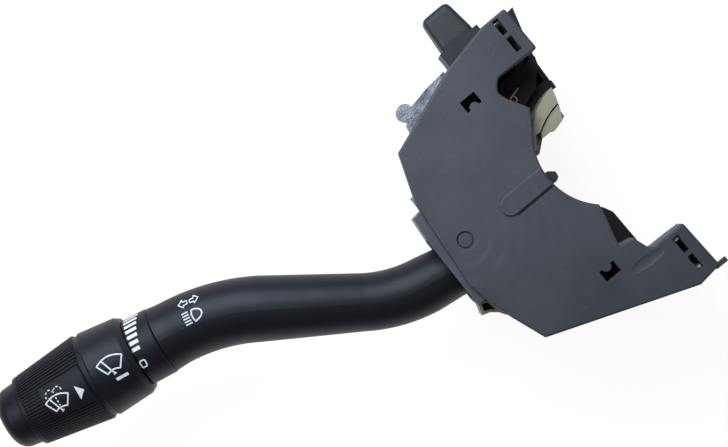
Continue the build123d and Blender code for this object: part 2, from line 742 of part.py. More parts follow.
def rear_housing():
    """The black housing behind the bracket, hollow from its front."""
    outline = housing_outline()
    body = slab(outline, -HOUSING_DEPTH, PAD_HEIGHT)
    upper = slab(outline, PAD_HEIGHT, PLATE_TOP)
    body = body + (upper - block((-80, BRACKET_END + GAP), (-80, 80), (0, PLATE_TOP + 1)))
    inner = offset(outline, -HOUSING_WALL, kind=Kind.INTERSECTION)
    hollow = slab(inner, -HOUSING_DEPTH + HOUSING_WALL, PLATE_TOP + 1)
    body = body - hollow
    for spot in SCREW_SPOTS:
        top = PAD_HEIGHT if spot[0] < BRACKET_END else PLATE_TOP
        pillar = disc(spot, SCREW_RADIUS + 1.8, -HOUSING_DEPTH, top)
        body = body + pillar
        body = body - disc(spot, SCREW_RADIUS + FIT, -HOUSING_DEPTH - 1, PLATE_TOP + 1)
    floor = prism(
        [(-13.6, 25.0), (-5.0, 27.9), (1.0, 34.0), (2.2, 37.4), (-15.0, 37.4), (-17.5, 33.0)],
        -HOUSING_DEPTH + 1,
        POCKET_FLOOR,
    )
    body = body + slab(mouth_sector(*LEDGE, 86, 139), PLATE_TOP - 2, PLATE_TOP)
    body = body + floor + disc(SPRING_POST, SPRING_POST_RADIUS, POCKET_FLOOR - 1, POCKET_FLOOR + 1.6)
    for pin in plug_pins(MAIN_PLUG, MAIN_PLUG_PINS, MAIN_PLUG_DEPTH, SEAT):
        body = body - pin
    for pin in plug_pins(SIDE_PLUG, SIDE_PLUG_PINS, SIDE_PLUG_DEPTH, SEAT):
        body = body - pin
    return body


def connector(centre, size, depth, counts):
    """One connector shroud with its pins' holes."""
    shroud = plug_shroud(centre, size, depth)
    for pin in plug_pins(centre, counts, depth, SEAT):
        shroud = shroud - pin
    return shroud


def housing_screws():
    """Self-tapping screws that hold the rear housing to the carrier."""
    screws = []
    for spot in SCREW_SPOTS:
        low = -HOUSING_DEPTH - SCREW_HEAD_HEIGHT
        head = disc(spot, SCREW_HEAD, low, -HOUSING_DEPTH)
        head = chamfer(head.faces().sort_by(Axis.Z)[0].edges(), 0.7)
        slot = block((spot[0] - 2.0, spot[0] + 2.0), (spot[1] - 0.4, spot[1] + 0.4), (low - 1, low + 1))
        cross = block((spot[0] - 0.4, spot[0] + 0.4), (spot[1] - 2.0, spot[1] + 2.0), (low - 1, low + 1))
        shank = disc(spot, SCREW_RADIUS, -HOUSING_DEPTH - 0.5, PLATE_TOP + 6)
        screws.append((head + shank - slot - cross).solid())
    return Compound(screws)


def contact_board():
    """The laminate board on the carrier's floor."""
    board = prism(
        [(-56.0, -38.0), (-56.0, -22.5), (-32.0, -22.5), (-30.0, -24.5), (-30.0, -42.0), (-44.0, -42.0)],
        FLOOR_TOP,
        FLOOR_TOP + 1.6,
    )
    for spot in RIVET_SPOTS:
        board = board - disc(spot, RIVET_HEAD + GAP, FLOOR_TOP - 1, FLOOR_TOP + 3)
    for spot in SCREW_SPOTS:
        board = board - disc(spot, SCREW_RADIUS + 1.6 + GAP, FLOOR_TOP - 1, FLOOR_TOP + 3)
    return board


def board_contacts():
    """Brass strips on the board."""
    strips = []
    for index in range(4):
        y = -25.5 - index * 3.4
        strips.append(block((-50, -34.5), (y - 1, y + 1), (FLOOR_TOP + 1.6, FLOOR_TOP + 2.2)).solid())
    return Compound(strips)


# ---- turn yoke and detent ----
def turn_yoke():
    """The nylon yoke: hub, cheeks, back wall and the plunger's arm."""
    base = YOKE_BASE - STALK_LEVEL
    channel = ROOT_HALF_WIDTH + GAP
    near = ROOT_OFFSET - channel
    far = ROOT_OFFSET + channel
    top = 7.5
    floor = block((YOKE_BACK, YOKE_END), (-HUB_RADIUS, far + CHEEK), (base, base + YOKE_FLOOR))
    near_cheek = block((YOKE_BACK, YOKE_END), (near - CHEEK, near), (base, top))
    far_cheek = block((YOKE_BACK, YOKE_END), (far, far + CHEEK), (base, top))
    back = block((YOKE_BACK, YOKE_BACK + 3.5), (near - CHEEK, far + CHEEK), (base, top))
    hub = disc((0, 0), HUB_RADIUS, base, COVER_UNDER - 2.5 - STALK_LEVEL)
    arm = block((DETENT_ARM, 0), (-DETENT_ARM_HALF, DETENT_ARM_HALF), (base, 5.0))
    yoke = floor + near_cheek + far_cheek + back + hub + arm
    yoke = yoke - block((YOKE_BACK + 3.5, 20), (near, far), (base + YOKE_FLOOR, 20))
    yoke = yoke - disc((0, 0), PIVOT_RADIUS + FIT, base - 1, 20)
    yoke = yoke - cross_bar(CROSS_PIN_RADIUS + FIT, CROSS_PIN_ENDS[0] - 0.1, far + CHEEK + 1)
    yoke = yoke - along_x(PLUNGER_RADIUS + FIT, DETENT_ARM - 1, PLUNGER_BORE_END)
    slot = slider_block(SEAT, base - 1, base + YOKE_FLOOR + 1)
    return SWITCH * (yoke - slot)


def cross_bar(radius, start, end):
    """A cylinder across the stalk's root, on the cross pin's axis."""
    middle = Pos(CROSS_PIN_PLACE, (start + end) / 2, 0)
    return middle * Rot(90, 0, 0) * Cylinder(radius, end - start)


def slider_block(grow, low, high):
    """The dimmer slider's plan shape between two levels, in the stalk's frame."""
    return block(
        (ROOT_INNER - grow, ROOT_INNER + 4 + grow),
        (ROOT_OFFSET - 2.5 - grow, ROOT_OFFSET + 2.5 + grow),
        (low, high),
    )


def dimmer_slider():
    """The slider that the root's inner end pushes down."""
    base = YOKE_BASE - STALK_LEVEL
    return SWITCH * slider_block(0, base + 1.3, -ROOT_HALF_HEIGHT - FIT)


def yoke_contact():
    """The brass bridge on the yoke's far cheek."""
    y = ROOT_OFFSET + ROOT_HALF_WIDTH + GAP + CHEEK
    plate = block((-17, 3), (y, y + 0.6), (-6, 4))
    finger = block((-16, -11), (y + 0.6, y + 1.6), (-6, -5.2))
    return SWITCH * (plate + finger + Pos(14, 0, 0) * finger)


def detent_plunger():
    """The round-nosed plunger that rides the track."""
    nose = PLUNGER_RADIUS
    shaft = along_x(PLUNGER_RADIUS, -PLUNGER_TIP + nose, -PLUNGER_TIP + PLUNGER_LENGTH)
    ball = Pos(-PLUNGER_TIP + nose, 0, 0) * Sphere(nose)
    return SWITCH * (shaft + ball)


def detent_spring():
    """The plunger's spring, in the arm's bore."""
    start = -PLUNGER_TIP + PLUNGER_LENGTH
    length = PLUNGER_BORE_END - start - 0.1
    spring = coil(PLUNGER_RADIUS - 0.7, 0.6, length, 4)
    return SWITCH * Pos(start + 0.05, 0, 0) * Rot(0, 90, 0) * spring


def detent_track():
    """The curved track with a valley for each stalk position."""
    crest = PLUNGER_TIP + GAP
    ring = disc((0, 0), crest + TRACK_THICK, -6, 6) - disc((0, 0), crest, -7, 7)
    spread = math.radians(TRACK_SPREAD)
    reach = crest + 2 * TRACK_THICK
    wedge = prism(
        [(0, 0), (-reach, reach * math.tan(spread)), (-reach, -reach * math.tan(spread))], -7, 7
    )
    track = ring & wedge
    for turn in (-TURN_ANGLE, 0, TURN_ANGLE):
        angle = math.radians(turn)
        centre = crest + TRACK_VALLEY - PLUNGER_RADIUS - 0.4
        spot = (-centre * math.cos(angle), centre * math.sin(angle))
        track = track - disc(spot, PLUNGER_RADIUS + 0.4, -7, 7)
    foot = (ring & wedge) - disc((0, 0), crest + 1.5, -7, 7)
    foot = Pos(0, 0, FLOOR_TOP - STALK_LEVEL + 6) * foot
    return SWITCH * (track + foot)


# ---- stalk ----
def stalk_line():
    """The stalk's centre line in its own frame."""
    rise = math.radians(RISE_ANGLE)
    first = (ROOT_RUN, ROOT_OFFSET)
    second = (first[0] + RISE_RUN * math.cos(rise), first[1] - RISE_RUN * math.sin(rise))
    return (SHOULDER, ROOT_OFFSET), first, second, (second[0] + TIP_RUN, second[1])


def knob_location():
    """The knob's frame: origin at the shell's end, +X outward on the knob's axis."""
    end = stalk_line()[3]
    return SWITCH * Pos(end[0], end[1], 0)


def root_bar(grow):
    """The root bar's shape, grown for its socket."""
    return block(
        (ROOT_INNER, SHOULDER + ROOT_SOCKET + grow),
        (ROOT_OFFSET - ROOT_HALF_WIDTH - grow, ROOT_OFFSET + ROOT_HALF_WIDTH + grow),
        (-ROOT_HALF_HEIGHT - grow, ROOT_HALF_HEIGHT + grow),
    )


def bend(start, heading, radius, turn, centre):
    """A round tube bent about a centre, from a point and its heading."""
    face = Plane(origin=(*start, 0), x_dir=UP, z_dir=(*heading, 0)) * Circle(radius)
    way = 1 if turn > 0 else -1
    return revolve(face, Axis((*centre, 0), (0, 0, way)), revolution_arc=abs(turn))


def taper(start, heading, length, first, last):
    """A straight round length between two radii."""
    place = Plane(origin=(*start, 0), x_dir=UP, z_dir=(*heading, 0))
    return place * Pos(0, 0, length / 2) * Cone(first, last, length)


def stalk_shell():
    """The bent, swelling tube: three tapered lengths joined by two round bends."""
    begin, first, second, end = stalk_line()
    rise = math.radians(RISE_ANGLE)
    level, climb = (1, 0), (math.cos(rise), -math.sin(rise))
    run_in = ROOT_BEND * math.tan(rise / 2)
    run_out = TIP_BEND * math.tan(rise / 2)
    one = (first[0] - run_in, first[1])
    two = (first[0] + run_in * climb[0], first[1] + run_in * climb[1])
    three = (second[0] - run_out * climb[0], second[1] - run_out * climb[1])
    four = (second[0] + run_out, second[1])
    middle = RISE_RUN - run_in - run_out
    shell = taper(begin, level, one[0] - begin[0], ROOT_RADIUS, LOW_BEND_RADIUS)
    shell = shell + bend(one, level, LOW_BEND_RADIUS, -RISE_ANGLE, (one[0], one[1] - ROOT_BEND))
    shell = shell + taper(two, climb, middle, LOW_BEND_RADIUS, HIGH_BEND_RADIUS)
    side = (three[0] - TIP_BEND * climb[1], three[1] + TIP_BEND * climb[0])
    shell = shell + bend(three, climb, HIGH_BEND_RADIUS, RISE_ANGLE, side)
    shell = shell + taper(four, level, end[0] - four[0], HIGH_BEND_RADIUS, TIP_RADIUS)
    shell = shell - root_bar(SEAT)
    socket = Pos(end[0], end[1], 0) * along_x(SPIGOT_RADIUS + SEAT, -SPIGOT_ENTRY - 0.1, 1)
    return SWITCH * (shell - socket)


def stalk_root():
    """The zinc bar in the yoke, drilled for the cross pin."""
    bar = root_bar(0)
    edges = bar.edges().filter_by(Axis.Z)
    bar = fillet(edges, 1.2)
    hole = cross_bar(CROSS_PIN_RADIUS + SEAT, CROSS_PIN_ENDS[0] - 1, CROSS_PIN_ENDS[1] + 1)
    return SWITCH * (bar - hole)


def cross_pin():
    """The pin that the stalk tips on for the headlamp flash."""
    return SWITCH * cross_bar(CROSS_PIN_RADIUS, *CROSS_PIN_ENDS)


def spigot():
    """The hollow spindle that carries the knob, with a groove for its clip."""
    bore = STEM_RADIUS + FIT
    stop = STEM_END - CAP_TRAVEL - 1
    groove = CLIP_AT + CLIP_THICK + 0.05
    neck = SPIGOT_RADIUS - CLIP_GROOVE
    spindle = turned(
        [
            (-SPIGOT_ENTRY, 0),
            (stop, 0),
            (stop, bore),
            (SPIGOT_END, bore),
            (SPIGOT_END, SPIGOT_RADIUS - 0.3),
            (SPIGOT_END - 0.3, SPIGOT_RADIUS),
            (groove, SPIGOT_RADIUS),
            (groove, neck),
            (CLIP_AT - 0.05, neck),
            (CLIP_AT - 0.05, SPIGOT_RADIUS),
            (-SPIGOT_ENTRY, SPIGOT_RADIUS),
        ]
    )
    return knob_location() * spindle


def spigot_clip():
    """The open ring that keeps the knob on its spindle."""
    neck = SPIGOT_RADIUS - CLIP_GROOVE + SEAT
    ring = washer_along_x(neck, CLIP_RADIUS, CLIP_AT, CLIP_AT + CLIP_THICK)
    mouth = block((CLIP_AT - 1, CLIP_AT + CLIP_THICK + 1), (-2.5, 2.5), (0, 15))
    return knob_location() * (ring - mouth)


def scale_ring():
    """The fixed ring that carries the wiper scale."""
    inner = SPIGOT_RADIUS + SEAT
    end = SCALE_RING_AT + SCALE_RING_LENGTH
    seat = end - WIPER_BOARD_THICK
    ring = turned(
        [
            (SCALE_RING_AT, inner),
            (seat, inner),
            (seat, WIPER_BOARD_RADIUS + SEAT),
            (end, WIPER_BOARD_RADIUS + SEAT),
            (end, SCALE_RING_RADIUS - 0.3),
            (end - 0.3, SCALE_RING_RADIUS),
            (SCALE_RING_AT + 0.4, SCALE_RING_RADIUS),
            (SCALE_RING_AT, SCALE_RING_RADIUS - 0.4),
        ]
    )
    return knob_location() * ring


def wiper_board():
    """The ring of laminate that the knob's contact sweeps."""
    end = SCALE_RING_AT + SCALE_RING_LENGTH
    board = washer_along_x(SPIGOT_RADIUS + SEAT, WIPER_BOARD_RADIUS, end - WIPER_BOARD_THICK, end)
    return knob_location() * board


# ---- wiper knob ----
def pointer_ring():
    """The flared ring with the pointer, a cup open towards the grip."""
    hub = SPIGOT_RADIUS + FIT
    hub_wall = hub + KNOB_WALL
    start, end = POINTER_AT, POINTER_AT + POINTER_LENGTH
    pocket = start + 3.2
    ring = turned(
        [
            (start + 1.0, hub),
            (end, hub),
            (end, hub_wall),
            (pocket, hub_wall),
            (pocket, POINTER_LIP_RADIUS - KNOB_WALL),
            (end, POINTER_END_RADIUS - KNOB_WALL),
            (end, POINTER_END_RADIUS - 0.3),
            (end - 0.5, POINTER_END_RADIUS),
            (start + POINTER_LIP, POINTER_LIP_RADIUS),
            (start, POINTER_START_RADIUS),
            (start, WIPER_BOARD_RADIUS),
            (start + 1.0, WIPER_BOARD_RADIUS),
        ]
    )
    return knob_location() * ring


def wiper_contact():
    """The brass ring in the pointer ring that sweeps the board."""
    start = POINTER_AT + 0.3
    ring = washer_along_x(SPIGOT_RADIUS + 0.6, WIPER_BOARD_RADIUS - 0.3, start, POINTER_AT + 1.0)
    return knob_location() * ring


def grip_collar():
    """The thin black collar between the pointer ring and the grip."""
    collar = washer_along_x(SPIGOT_RADIUS + GAP, COLLAR_RADIUS, COLLAR_AT, GRIP_AT)
    return knob_location() * collar


def ribbed(radius):
    """A star outline with one point for each rib, across the knob's axis."""
    points = []
    for index in range(2 * RIB_COUNT):
        angle = math.pi * index / RIB_COUNT
        reach = radius if index % 2 else radius - RIB_DEPTH
        points.append((reach * math.cos(angle), reach * math.sin(angle)))
    return make_face(Polyline(*points, close=True))


def knob_grip():
    """The tapered, ribbed grip with its smooth pad and the cap's bore."""
    flare = GRIP_END - GRIP_RIM
    wide_end = Plane(origin=(GRIP_AT, 0, 0), x_dir=(0, 1, 0), z_dir=(1, 0, 0))
    small_end = Plane(origin=(flare, 0, 0), x_dir=(0, 1, 0), z_dir=(1, 0, 0))
    ribs = loft([wide_end * ribbed(GRIP_RADIUS), small_end * ribbed(GRIP_END_RADIUS)], ruled=True)
    rim = turned(
        [
            (flare, 0),
            (GRIP_END, 0),
            (GRIP_END, GRIP_END_RADIUS - 0.7),
            (GRIP_END - 0.7, GRIP_END_RADIUS - 0.1),
            (flare, GRIP_END_RADIUS - 0.1),
        ]
    )
    slope = (GRIP_RADIUS - GRIP_END_RADIUS) / (flare - GRIP_AT)
    pad_end = GRIP_AT + GRIP_PAD_LENGTH
    skin = turned(
        [
            (GRIP_AT, 0),
            (pad_end, 0),
            (pad_end, GRIP_RADIUS + GRIP_PAD_RAISE - slope * GRIP_PAD_LENGTH),
            (GRIP_AT, GRIP_RADIUS + GRIP_PAD_RAISE),
        ]
    )
    pad_plan = block(
        (GRIP_AT, pad_end),
        (-GRIP_PAD_WIDTH / 2, GRIP_PAD_WIDTH / 2),
        (0, GRIP_RADIUS + 2),
    )
    pad_plan = fillet(pad_plan.edges().filter_by(Axis.Z), 2.0)
    bores = turned(
        [
            (GRIP_AT - 1, 0),
            (GRIP_END + 1, 0),
            (GRIP_END + 1, CAP_RADIUS + GAP),
            (CAP_BORE_AT, CAP_RADIUS + GAP),
            (CAP_BORE_AT, SPIGOT_RADIUS + FIT),
            (GRIP_AT - 1, SPIGOT_RADIUS + FIT),
        ]
    )
    return knob_location() * (ribs + rim + (skin & pad_plan) - bores)


# ---- washer button ----
def washer_cap():
    """The domed cap that is pushed to wash the screen."""
    outer = turned(
        [
            (GRIP_END - CAP_SKIRT, 0),
            (CAP_END, 0),
            (CAP_END, CAP_RADIUS - 0.9),
            (GRIP_END + 1.5, CAP_RADIUS),
            (GRIP_END - CAP_SKIRT, CAP_RADIUS),
        ]
    )
    outer = fillet(outer.faces().sort_by(Axis.X)[-1].edges(), CAP_ROUND)
    hollow = along_x(CAP_RADIUS - CAP_WALL, GRIP_END - CAP_SKIRT - 1, CAP_FLOOR)
    seat = along_x(STEM_RADIUS + 1.5, CAP_FLOOR - 2, CAP_FLOOR + 0.5)
    bore = along_x(STEM_RADIUS + SEAT, CAP_FLOOR - 3, CAP_FLOOR)
    return knob_location() * (outer - hollow + seat - bore)


def washer_stem():
    """The stem that guides the cap in the spindle."""
    return knob_location() * along_x(STEM_RADIUS, STEM_END, CAP_FLOOR)


def washer_spring():
    """The cap's return spring around its stem."""
    length = CAP_FLOOR - 2 - SPIGOT_END - 0.1
    spring = coil(WASHER_COIL_RADIUS - 0.5, SPRING_WIRE, length, WASHER_COILS)
    return knob_location() * Pos(SPIGOT_END + 0.05, 0, 0) * Rot(0, 90, 0) * spring


# ---- hazard switch ----
def hazard_collar():
    """The square tube that guides the hazard button."""
    x = (HAZARD_X[0] - GAP - COLLAR_WALL, HAZARD_X[1] + GAP + COLLAR_WALL)
    z = (HAZARD_Z[0] - GAP - COLLAR_WALL, HAZARD_Z[1] + GAP + 1.2)
    tube = fillet(block(x, COLLAR_Y, z).edges().filter_by(Axis.Y), COLLAR_ROUND)
    hole = block(
        (HAZARD_X[0] - GAP, HAZARD_X[1] + GAP),
        (COLLAR_Y[0] - 1, COLLAR_Y[1] + 1),
        (HAZARD_Z[0] - GAP, HAZARD_Z[1] + GAP),
    )
    return tube - hole


def hazard_section(y, shrink):
    """The hazard button's rounded section at one place along its travel."""
    middle_x = (HAZARD_X[0] + HAZARD_X[1]) / 2
    middle_z = (HAZARD_Z[0] + HAZARD_Z[1]) / 2
    wide = HAZARD_X[1] - HAZARD_X[0] - 2 * shrink
    tall = HAZARD_Z[1] - HAZARD_Z[0] - 2 * shrink
    plane = Plane(origin=(middle_x, y, middle_z), x_dir=(1, 0, 0), z_dir=(0, 1, 0))
    return plane * RectangleRounded(wide, tall, HAZARD_ROUND)


def hazard_step(first, second):
    """A length of the hazard button between two (place, shrink) pairs."""
    return loft([hazard_section(*first), hazard_section(*second)], ruled=True)


def hazard_button():
    """The hazard button, bevelled towards its face."""
    places = [(HAZARD_REAR, 0), (COLLAR_Y[1] + 1.5, 0)]
    for angle in (0, 30, 60, 85):
        turn = math.radians(angle)
        y = HAZARD_TOP - HAZARD_NOSE * (1 - math.sin(turn))
        places.append((y, HAZARD_TAPER + HAZARD_NOSE * (1 - math.cos(turn)) * NOSE_SHARE))
    button = hazard_step(places[0], places[1])
    for index in range(1, len(places) - 1):
        button = button + hazard_step(places[index], places[index + 1])
    seat = hazard_rod(HAZARD_STEM_RADIUS + SEAT, HAZARD_REAR - 1, HAZARD_REAR + HAZARD_STEM_SEAT)
    return button - seat


def hazard_rod(radius, start, end):
    """A cylinder on the hazard button's axis."""
    middle_x = (HAZARD_X[0] + HAZARD_X[1]) / 2
    middle_z = (HAZARD_Z[0] + HAZARD_Z[1]) / 2
    place = Pos(middle_x, (start + end) / 2, middle_z)
    return place * Rot(90, 0, 0) * Cylinder(radius, end - start)


def hazard_stem():
    """The steel stem behind the hazard button."""
    return hazard_rod(HAZARD_STEM_RADIUS, HAZARD_STEM_END, HAZARD_REAR + HAZARD_STEM_SEAT)


def hazard_block():
    """The contact block that the stem slides in."""
    body = block(HAZARD_X, BLOCK_Y, (FLOOR_TOP, HAZARD_Z[1]))
    return body - hazard_rod(HAZARD_STEM_RADIUS + FIT, BLOCK_Y[0] - 1, BLOCK_Y[1] + 1)


def hazard_spring():
    """The hazard button's spring."""
    middle_x = (HAZARD_X[0] + HAZARD_X[1]) / 2
    middle_z = (HAZARD_Z[0] + HAZARD_Z[1]) / 2
    length = HAZARD_REAR - BLOCK_Y[1] - 0.1
    spring = coil(HAZARD_COIL_RADIUS, SPRING_WIRE, length, HAZARD_COILS)
    return Pos(middle_x, HAZARD_REAR - 0.05, middle_z) * Rot(90, 0, 0) * spring


# ---- cancel pawl ----
def cancel_pawl():
    """The pawl that the column's cam trips, with its nose in the mouth."""
    hub = disc(PAWL_PIVOT, PAWL_HUB_RADIUS, PAWL_FOOT, PAWL_TOP)
    half = PAWL_HALF_WIDTH
    arm = prism(
        [
            (PAWL_PIVOT[0], PAWL_PIVOT[1] - half),
            (-27.0, -half + 0.1),
            (-23.4, -2.4),
            (PAWL_NOSE - 0.3, -1.5),
            (PAWL_NOSE, 0.6),
            (-23.6, half),
            (-27.0, half + 0.3),
            (PAWL_PIVOT[0], PAWL_PIVOT[1] + half),
        ],
        PAWL_FOOT,
        PAWL_TOP,
    )
    return hub + arm - disc(PAWL_PIVOT, PAWL_PIN_RADIUS + FIT, PAWL_FOOT - 1, PAWL_TOP + 1)


def pawl_clip():
    """The push-on washer that holds the pawl on the cover's post."""
    top = PAWL_FOOT - 0.1
    low = top - PAWL_CLIP_THICK
    return disc(PAWL_PIVOT, PAWL_HUB_RADIUS - 0.3, low, top) - disc(
        PAWL_PIVOT, PAWL_PIN_RADIUS + SEAT, low - 1, top + 1
    )


def return_spring():
    """The hooked end of the pawl's wire spring, in the notch beside the mouth."""
    level = POCKET_FLOOR + RETURN_WIRE / 2
    ring = SPRING_POST_RADIUS + 0.1 + RETURN_WIRE / 2
    points = [(SPRING_TAIL, ring, 0)]
    for index in range(COIL_SIDES - 1):
        angle = math.radians(90) + 2 * math.pi * index / COIL_SIDES
        points.append((ring * math.cos(angle), ring * math.sin(angle), 0))
    return Pos(*SPRING_POST, level) * Rot(0, 0, 15) * wire_along(points, RETURN_WIRE)


def main():
    """Writes every node."""
    os.makedirs("parts", exist_ok=True)
    nodes = {
        "front_cover": front_cover(),
        "contact_carrier": contact_carrier(),
        "column_guide": column_guide(),
        "mounting_bracket": mounting_bracket(),
        "bracket_rivets": bracket_rivets(),
        "pivot_pin": pivot_pin(),
        "stalk_frame": stalk_frame(),
        "rear_housing": rear_housing(),
        "main_connector": connector(MAIN_PLUG, MAIN_PLUG_SIZE, MAIN_PLUG_DEPTH, MAIN_PLUG_PINS),
        "main_connector_pins": Compound(plug_pins(MAIN_PLUG, MAIN_PLUG_PINS, MAIN_PLUG_DEPTH)),
        "side_connector": connector(SIDE_PLUG, SIDE_PLUG_SIZE, SIDE_PLUG_DEPTH, SIDE_PLUG_PINS),
        "side_connector_pins": Compound(plug_pins(SIDE_PLUG, SIDE_PLUG_PINS, SIDE_PLUG_DEPTH)),
        "housing_screws": housing_screws(),
        "contact_board": contact_board(),
        "board_contacts": board_contacts(),
        "turn_yoke": turn_yoke(),
        "yoke_contact": yoke_contact(),
        "dimmer_slider": dimmer_slider(),
        "detent_plunger": detent_plunger(),
        "detent_spring": detent_spring(),
        "detent_track": detent_track(),
        "stalk_shell": stalk_shell(),
        "stalk_root": stalk_root(),
        "cross_pin": cross_pin(),
        "spigot": spigot(),
        "spigot_clip": spigot_clip(),
        "scale_ring": scale_ring(),
        "wiper_board": wiper_board(),
        "pointer_ring": pointer_ring(),
        "wiper_contact": wiper_contact(),
        "grip_collar": grip_collar(),
        "knob_grip": knob_grip(),
        "washer_cap": washer_cap(),
        "washer_stem": washer_stem(),
        "washer_spring": washer_spring(),
        "hazard_collar": hazard_collar(),
        "hazard_button": hazard_button(),
        "hazard_stem": hazard_stem(),
        "hazard_block": hazard_block(),
        "hazard_spring": hazard_spring(),
        "cancel_pawl": cancel_pawl(),
        "pawl_clip": pawl_clip(),
        "return_spring": return_spring(),
    }
    for node, shape in nodes.items():
        write(shape, node)


main()
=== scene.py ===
"""Dresses a steering-column stalk switch and sets up its studio picture."""
from __future__ import annotations

import json
import logging
import math
from dataclasses import dataclass, field
from enum import Enum

import bpy
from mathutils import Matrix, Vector

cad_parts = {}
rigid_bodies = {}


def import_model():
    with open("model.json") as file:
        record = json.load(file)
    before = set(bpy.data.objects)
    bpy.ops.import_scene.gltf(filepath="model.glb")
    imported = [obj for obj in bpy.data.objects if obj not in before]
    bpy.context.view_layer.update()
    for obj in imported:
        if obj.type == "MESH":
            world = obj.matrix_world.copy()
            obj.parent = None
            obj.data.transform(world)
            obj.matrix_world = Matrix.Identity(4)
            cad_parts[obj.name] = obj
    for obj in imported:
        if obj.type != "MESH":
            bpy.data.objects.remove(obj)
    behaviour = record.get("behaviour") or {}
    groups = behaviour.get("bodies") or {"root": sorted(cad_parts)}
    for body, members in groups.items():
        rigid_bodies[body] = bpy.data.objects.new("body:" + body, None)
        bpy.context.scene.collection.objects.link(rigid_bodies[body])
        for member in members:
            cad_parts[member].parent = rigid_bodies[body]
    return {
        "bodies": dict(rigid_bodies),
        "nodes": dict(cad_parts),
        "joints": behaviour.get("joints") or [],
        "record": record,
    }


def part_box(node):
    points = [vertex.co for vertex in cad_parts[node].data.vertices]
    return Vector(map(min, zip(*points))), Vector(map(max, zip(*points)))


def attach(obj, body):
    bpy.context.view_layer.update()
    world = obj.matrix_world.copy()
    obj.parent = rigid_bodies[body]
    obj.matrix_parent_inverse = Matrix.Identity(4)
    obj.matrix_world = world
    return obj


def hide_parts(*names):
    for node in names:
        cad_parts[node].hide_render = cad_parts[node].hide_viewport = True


LOG = logging.getLogger("stalk_switch")
# Lengths on the part are in millimetres; the scene is in metres.
MM = 0.001
WHITE = (1.0, 1.0, 1.0, 1.0)
# The knob's axis: its level, its lean from the X axis and the shell's end on it.
STALK_LEVEL = 15.0
LEAN = math.radians(11.35)
KNOB_ORIGIN = (-169.87, 44.63)
OUTWARD = (-math.cos(LEAN), math.sin(LEAN))
ACROSS = (math.sin(LEAN), math.cos(LEAN))


# ---- shared helpers ----
def clear_selection() -> None:
    """Leaves object mode with nothing selected."""
    if bpy.context.object and bpy.context.object.mode != "OBJECT":
        bpy.ops.object.mode_set(mode="OBJECT")
    bpy.ops.object.select_all(action="DESELECT")


def make_active(piece: bpy.types.Object) -> None:
    """Selects one object alone and makes it active.

    Args:
        piece: The object.
    """
    clear_selection()
    piece.select_set(True)
    bpy.context.view_layer.objects.active = piece


def apply_place(piece: bpy.types.Object) -> None:
    """Moves an object's place, turn and scale into its mesh.

    Args:
        piece: The object.
    """
    make_active(piece)
    bpy.ops.object.transform_apply(location=True, rotation=True, scale=True)


def join_pieces(pieces: list[bpy.types.Object], name: str) -> bpy.types.Object:
    """Joins several objects into one.

    Args:
        pieces: The objects, all at the origin.
        name: The joined object's name.

    Returns:
        The joined object.
    """
    clear_selection()
    for piece in pieces:
        piece.select_set(True)
    bpy.context.view_layer.objects.active = pieces[0]
    if len(pieces) > 1:
        bpy.ops.object.join()
    whole = bpy.context.view_layer.objects.active
    whole.name = name
    return whole


# ---- finishes ----
class Effect(Enum):
    """The shader groups that several finishes share."""

    GRAIN = "moulded_grain"
    MOTTLE = "colour_mottle"
    FLOW = "flow_lines"


def add_node(tree: bpy.types.NodeTree, kind: str, feeds: dict, **options) -> bpy.types.Node:
    """Adds one shader node.

    Args:
        tree: The tree that takes the node.
        kind: The node's type, after the word ShaderNode.
        feeds: The inputs by name or place, each with a constant or the socket that drives it.
        options: The node's own settings.

    Returns:
        The node.
    """
    node = tree.nodes.new(f"ShaderNode{kind}")
    for option, choice in options.items():
        setattr(node, option, choice)
    for name, feed in feeds.items():
        if isinstance(feed, bpy.types.NodeSocket):
            tree.links.new(feed, node.inputs[name])
        else:
            node.inputs[name].default_value = feed
    return node


def calculate(tree: bpy.types.NodeTree, operation: str, *terms) -> bpy.types.NodeSocket:
    """Adds one math node.

    Args:
        tree: The tree that takes the node.
        operation: What it works out.
        terms: The numbers or sockets that it takes, in order.

    Returns:
        The node's output.
    """
    return add_node(tree, "Math", dict(enumerate(terms)), operation=operation).outputs[0]


def new_group(effect: Effect, inputs: dict[str, float], outputs: list[str]) -> bpy.types.NodeTree:
    """Starts a shader group with float inputs and outputs.

    Args:
        effect: The group's place in the list of effects.
        inputs: Each input's name and default.
        outputs: Each output's name.

    Returns:
        The group, with its input and output nodes.
    """
    group = bpy.data.node_groups.new(effect.value, "ShaderNodeTree")
    group.interface.new_socket("Vector", in_out="INPUT", socket_type="NodeSocketVector")
    for name, value in inputs.items():
        socket = group.interface.new_socket(name, in_out="INPUT", socket_type="NodeSocketFloat")
        socket.default_value = value
    for name in outputs:
        group.interface.new_socket(name, in_out="OUTPUT", socket_type="NodeSocketFloat")
    group.nodes.new("NodeGroupInput").name = "in"
    group.nodes.new("NodeGroupOutput").name = "out"
    return group


def grain_group(broad_detail: float = 4.0, broad_share: float = 0.6) -> None:
    """Builds the fine grain of a moulded or cast surface, as a height and a gloss mask.

    Args:
        broad_detail: The detail of the broad waves.
        broad_share: How much they add to the fine grain.
    """
    group = new_group(Effect.GRAIN, {"Fine": 2500.0, "Broad": 120.0}, ["Height", "Gloss"])
    source, sink = group.nodes["in"].outputs, group.nodes["out"].inputs
    fine = add_node(group, "TexVoronoi", {"Vector": source["Vector"], "Scale": source["Fine"]},
                    feature="SMOOTH_F1")
    waves = {"Vector": source["Vector"], "Scale": source["Broad"], "Detail": broad_detail}
    broad = add_node(group, "TexNoise", waves).outputs["Fac"]
    height = calculate(group, "MULTIPLY_ADD", broad, broad_share, fine.outputs["Distance"])
    group.links.new(height, sink["Height"])
    group.links.new(broad, sink["Gloss"])


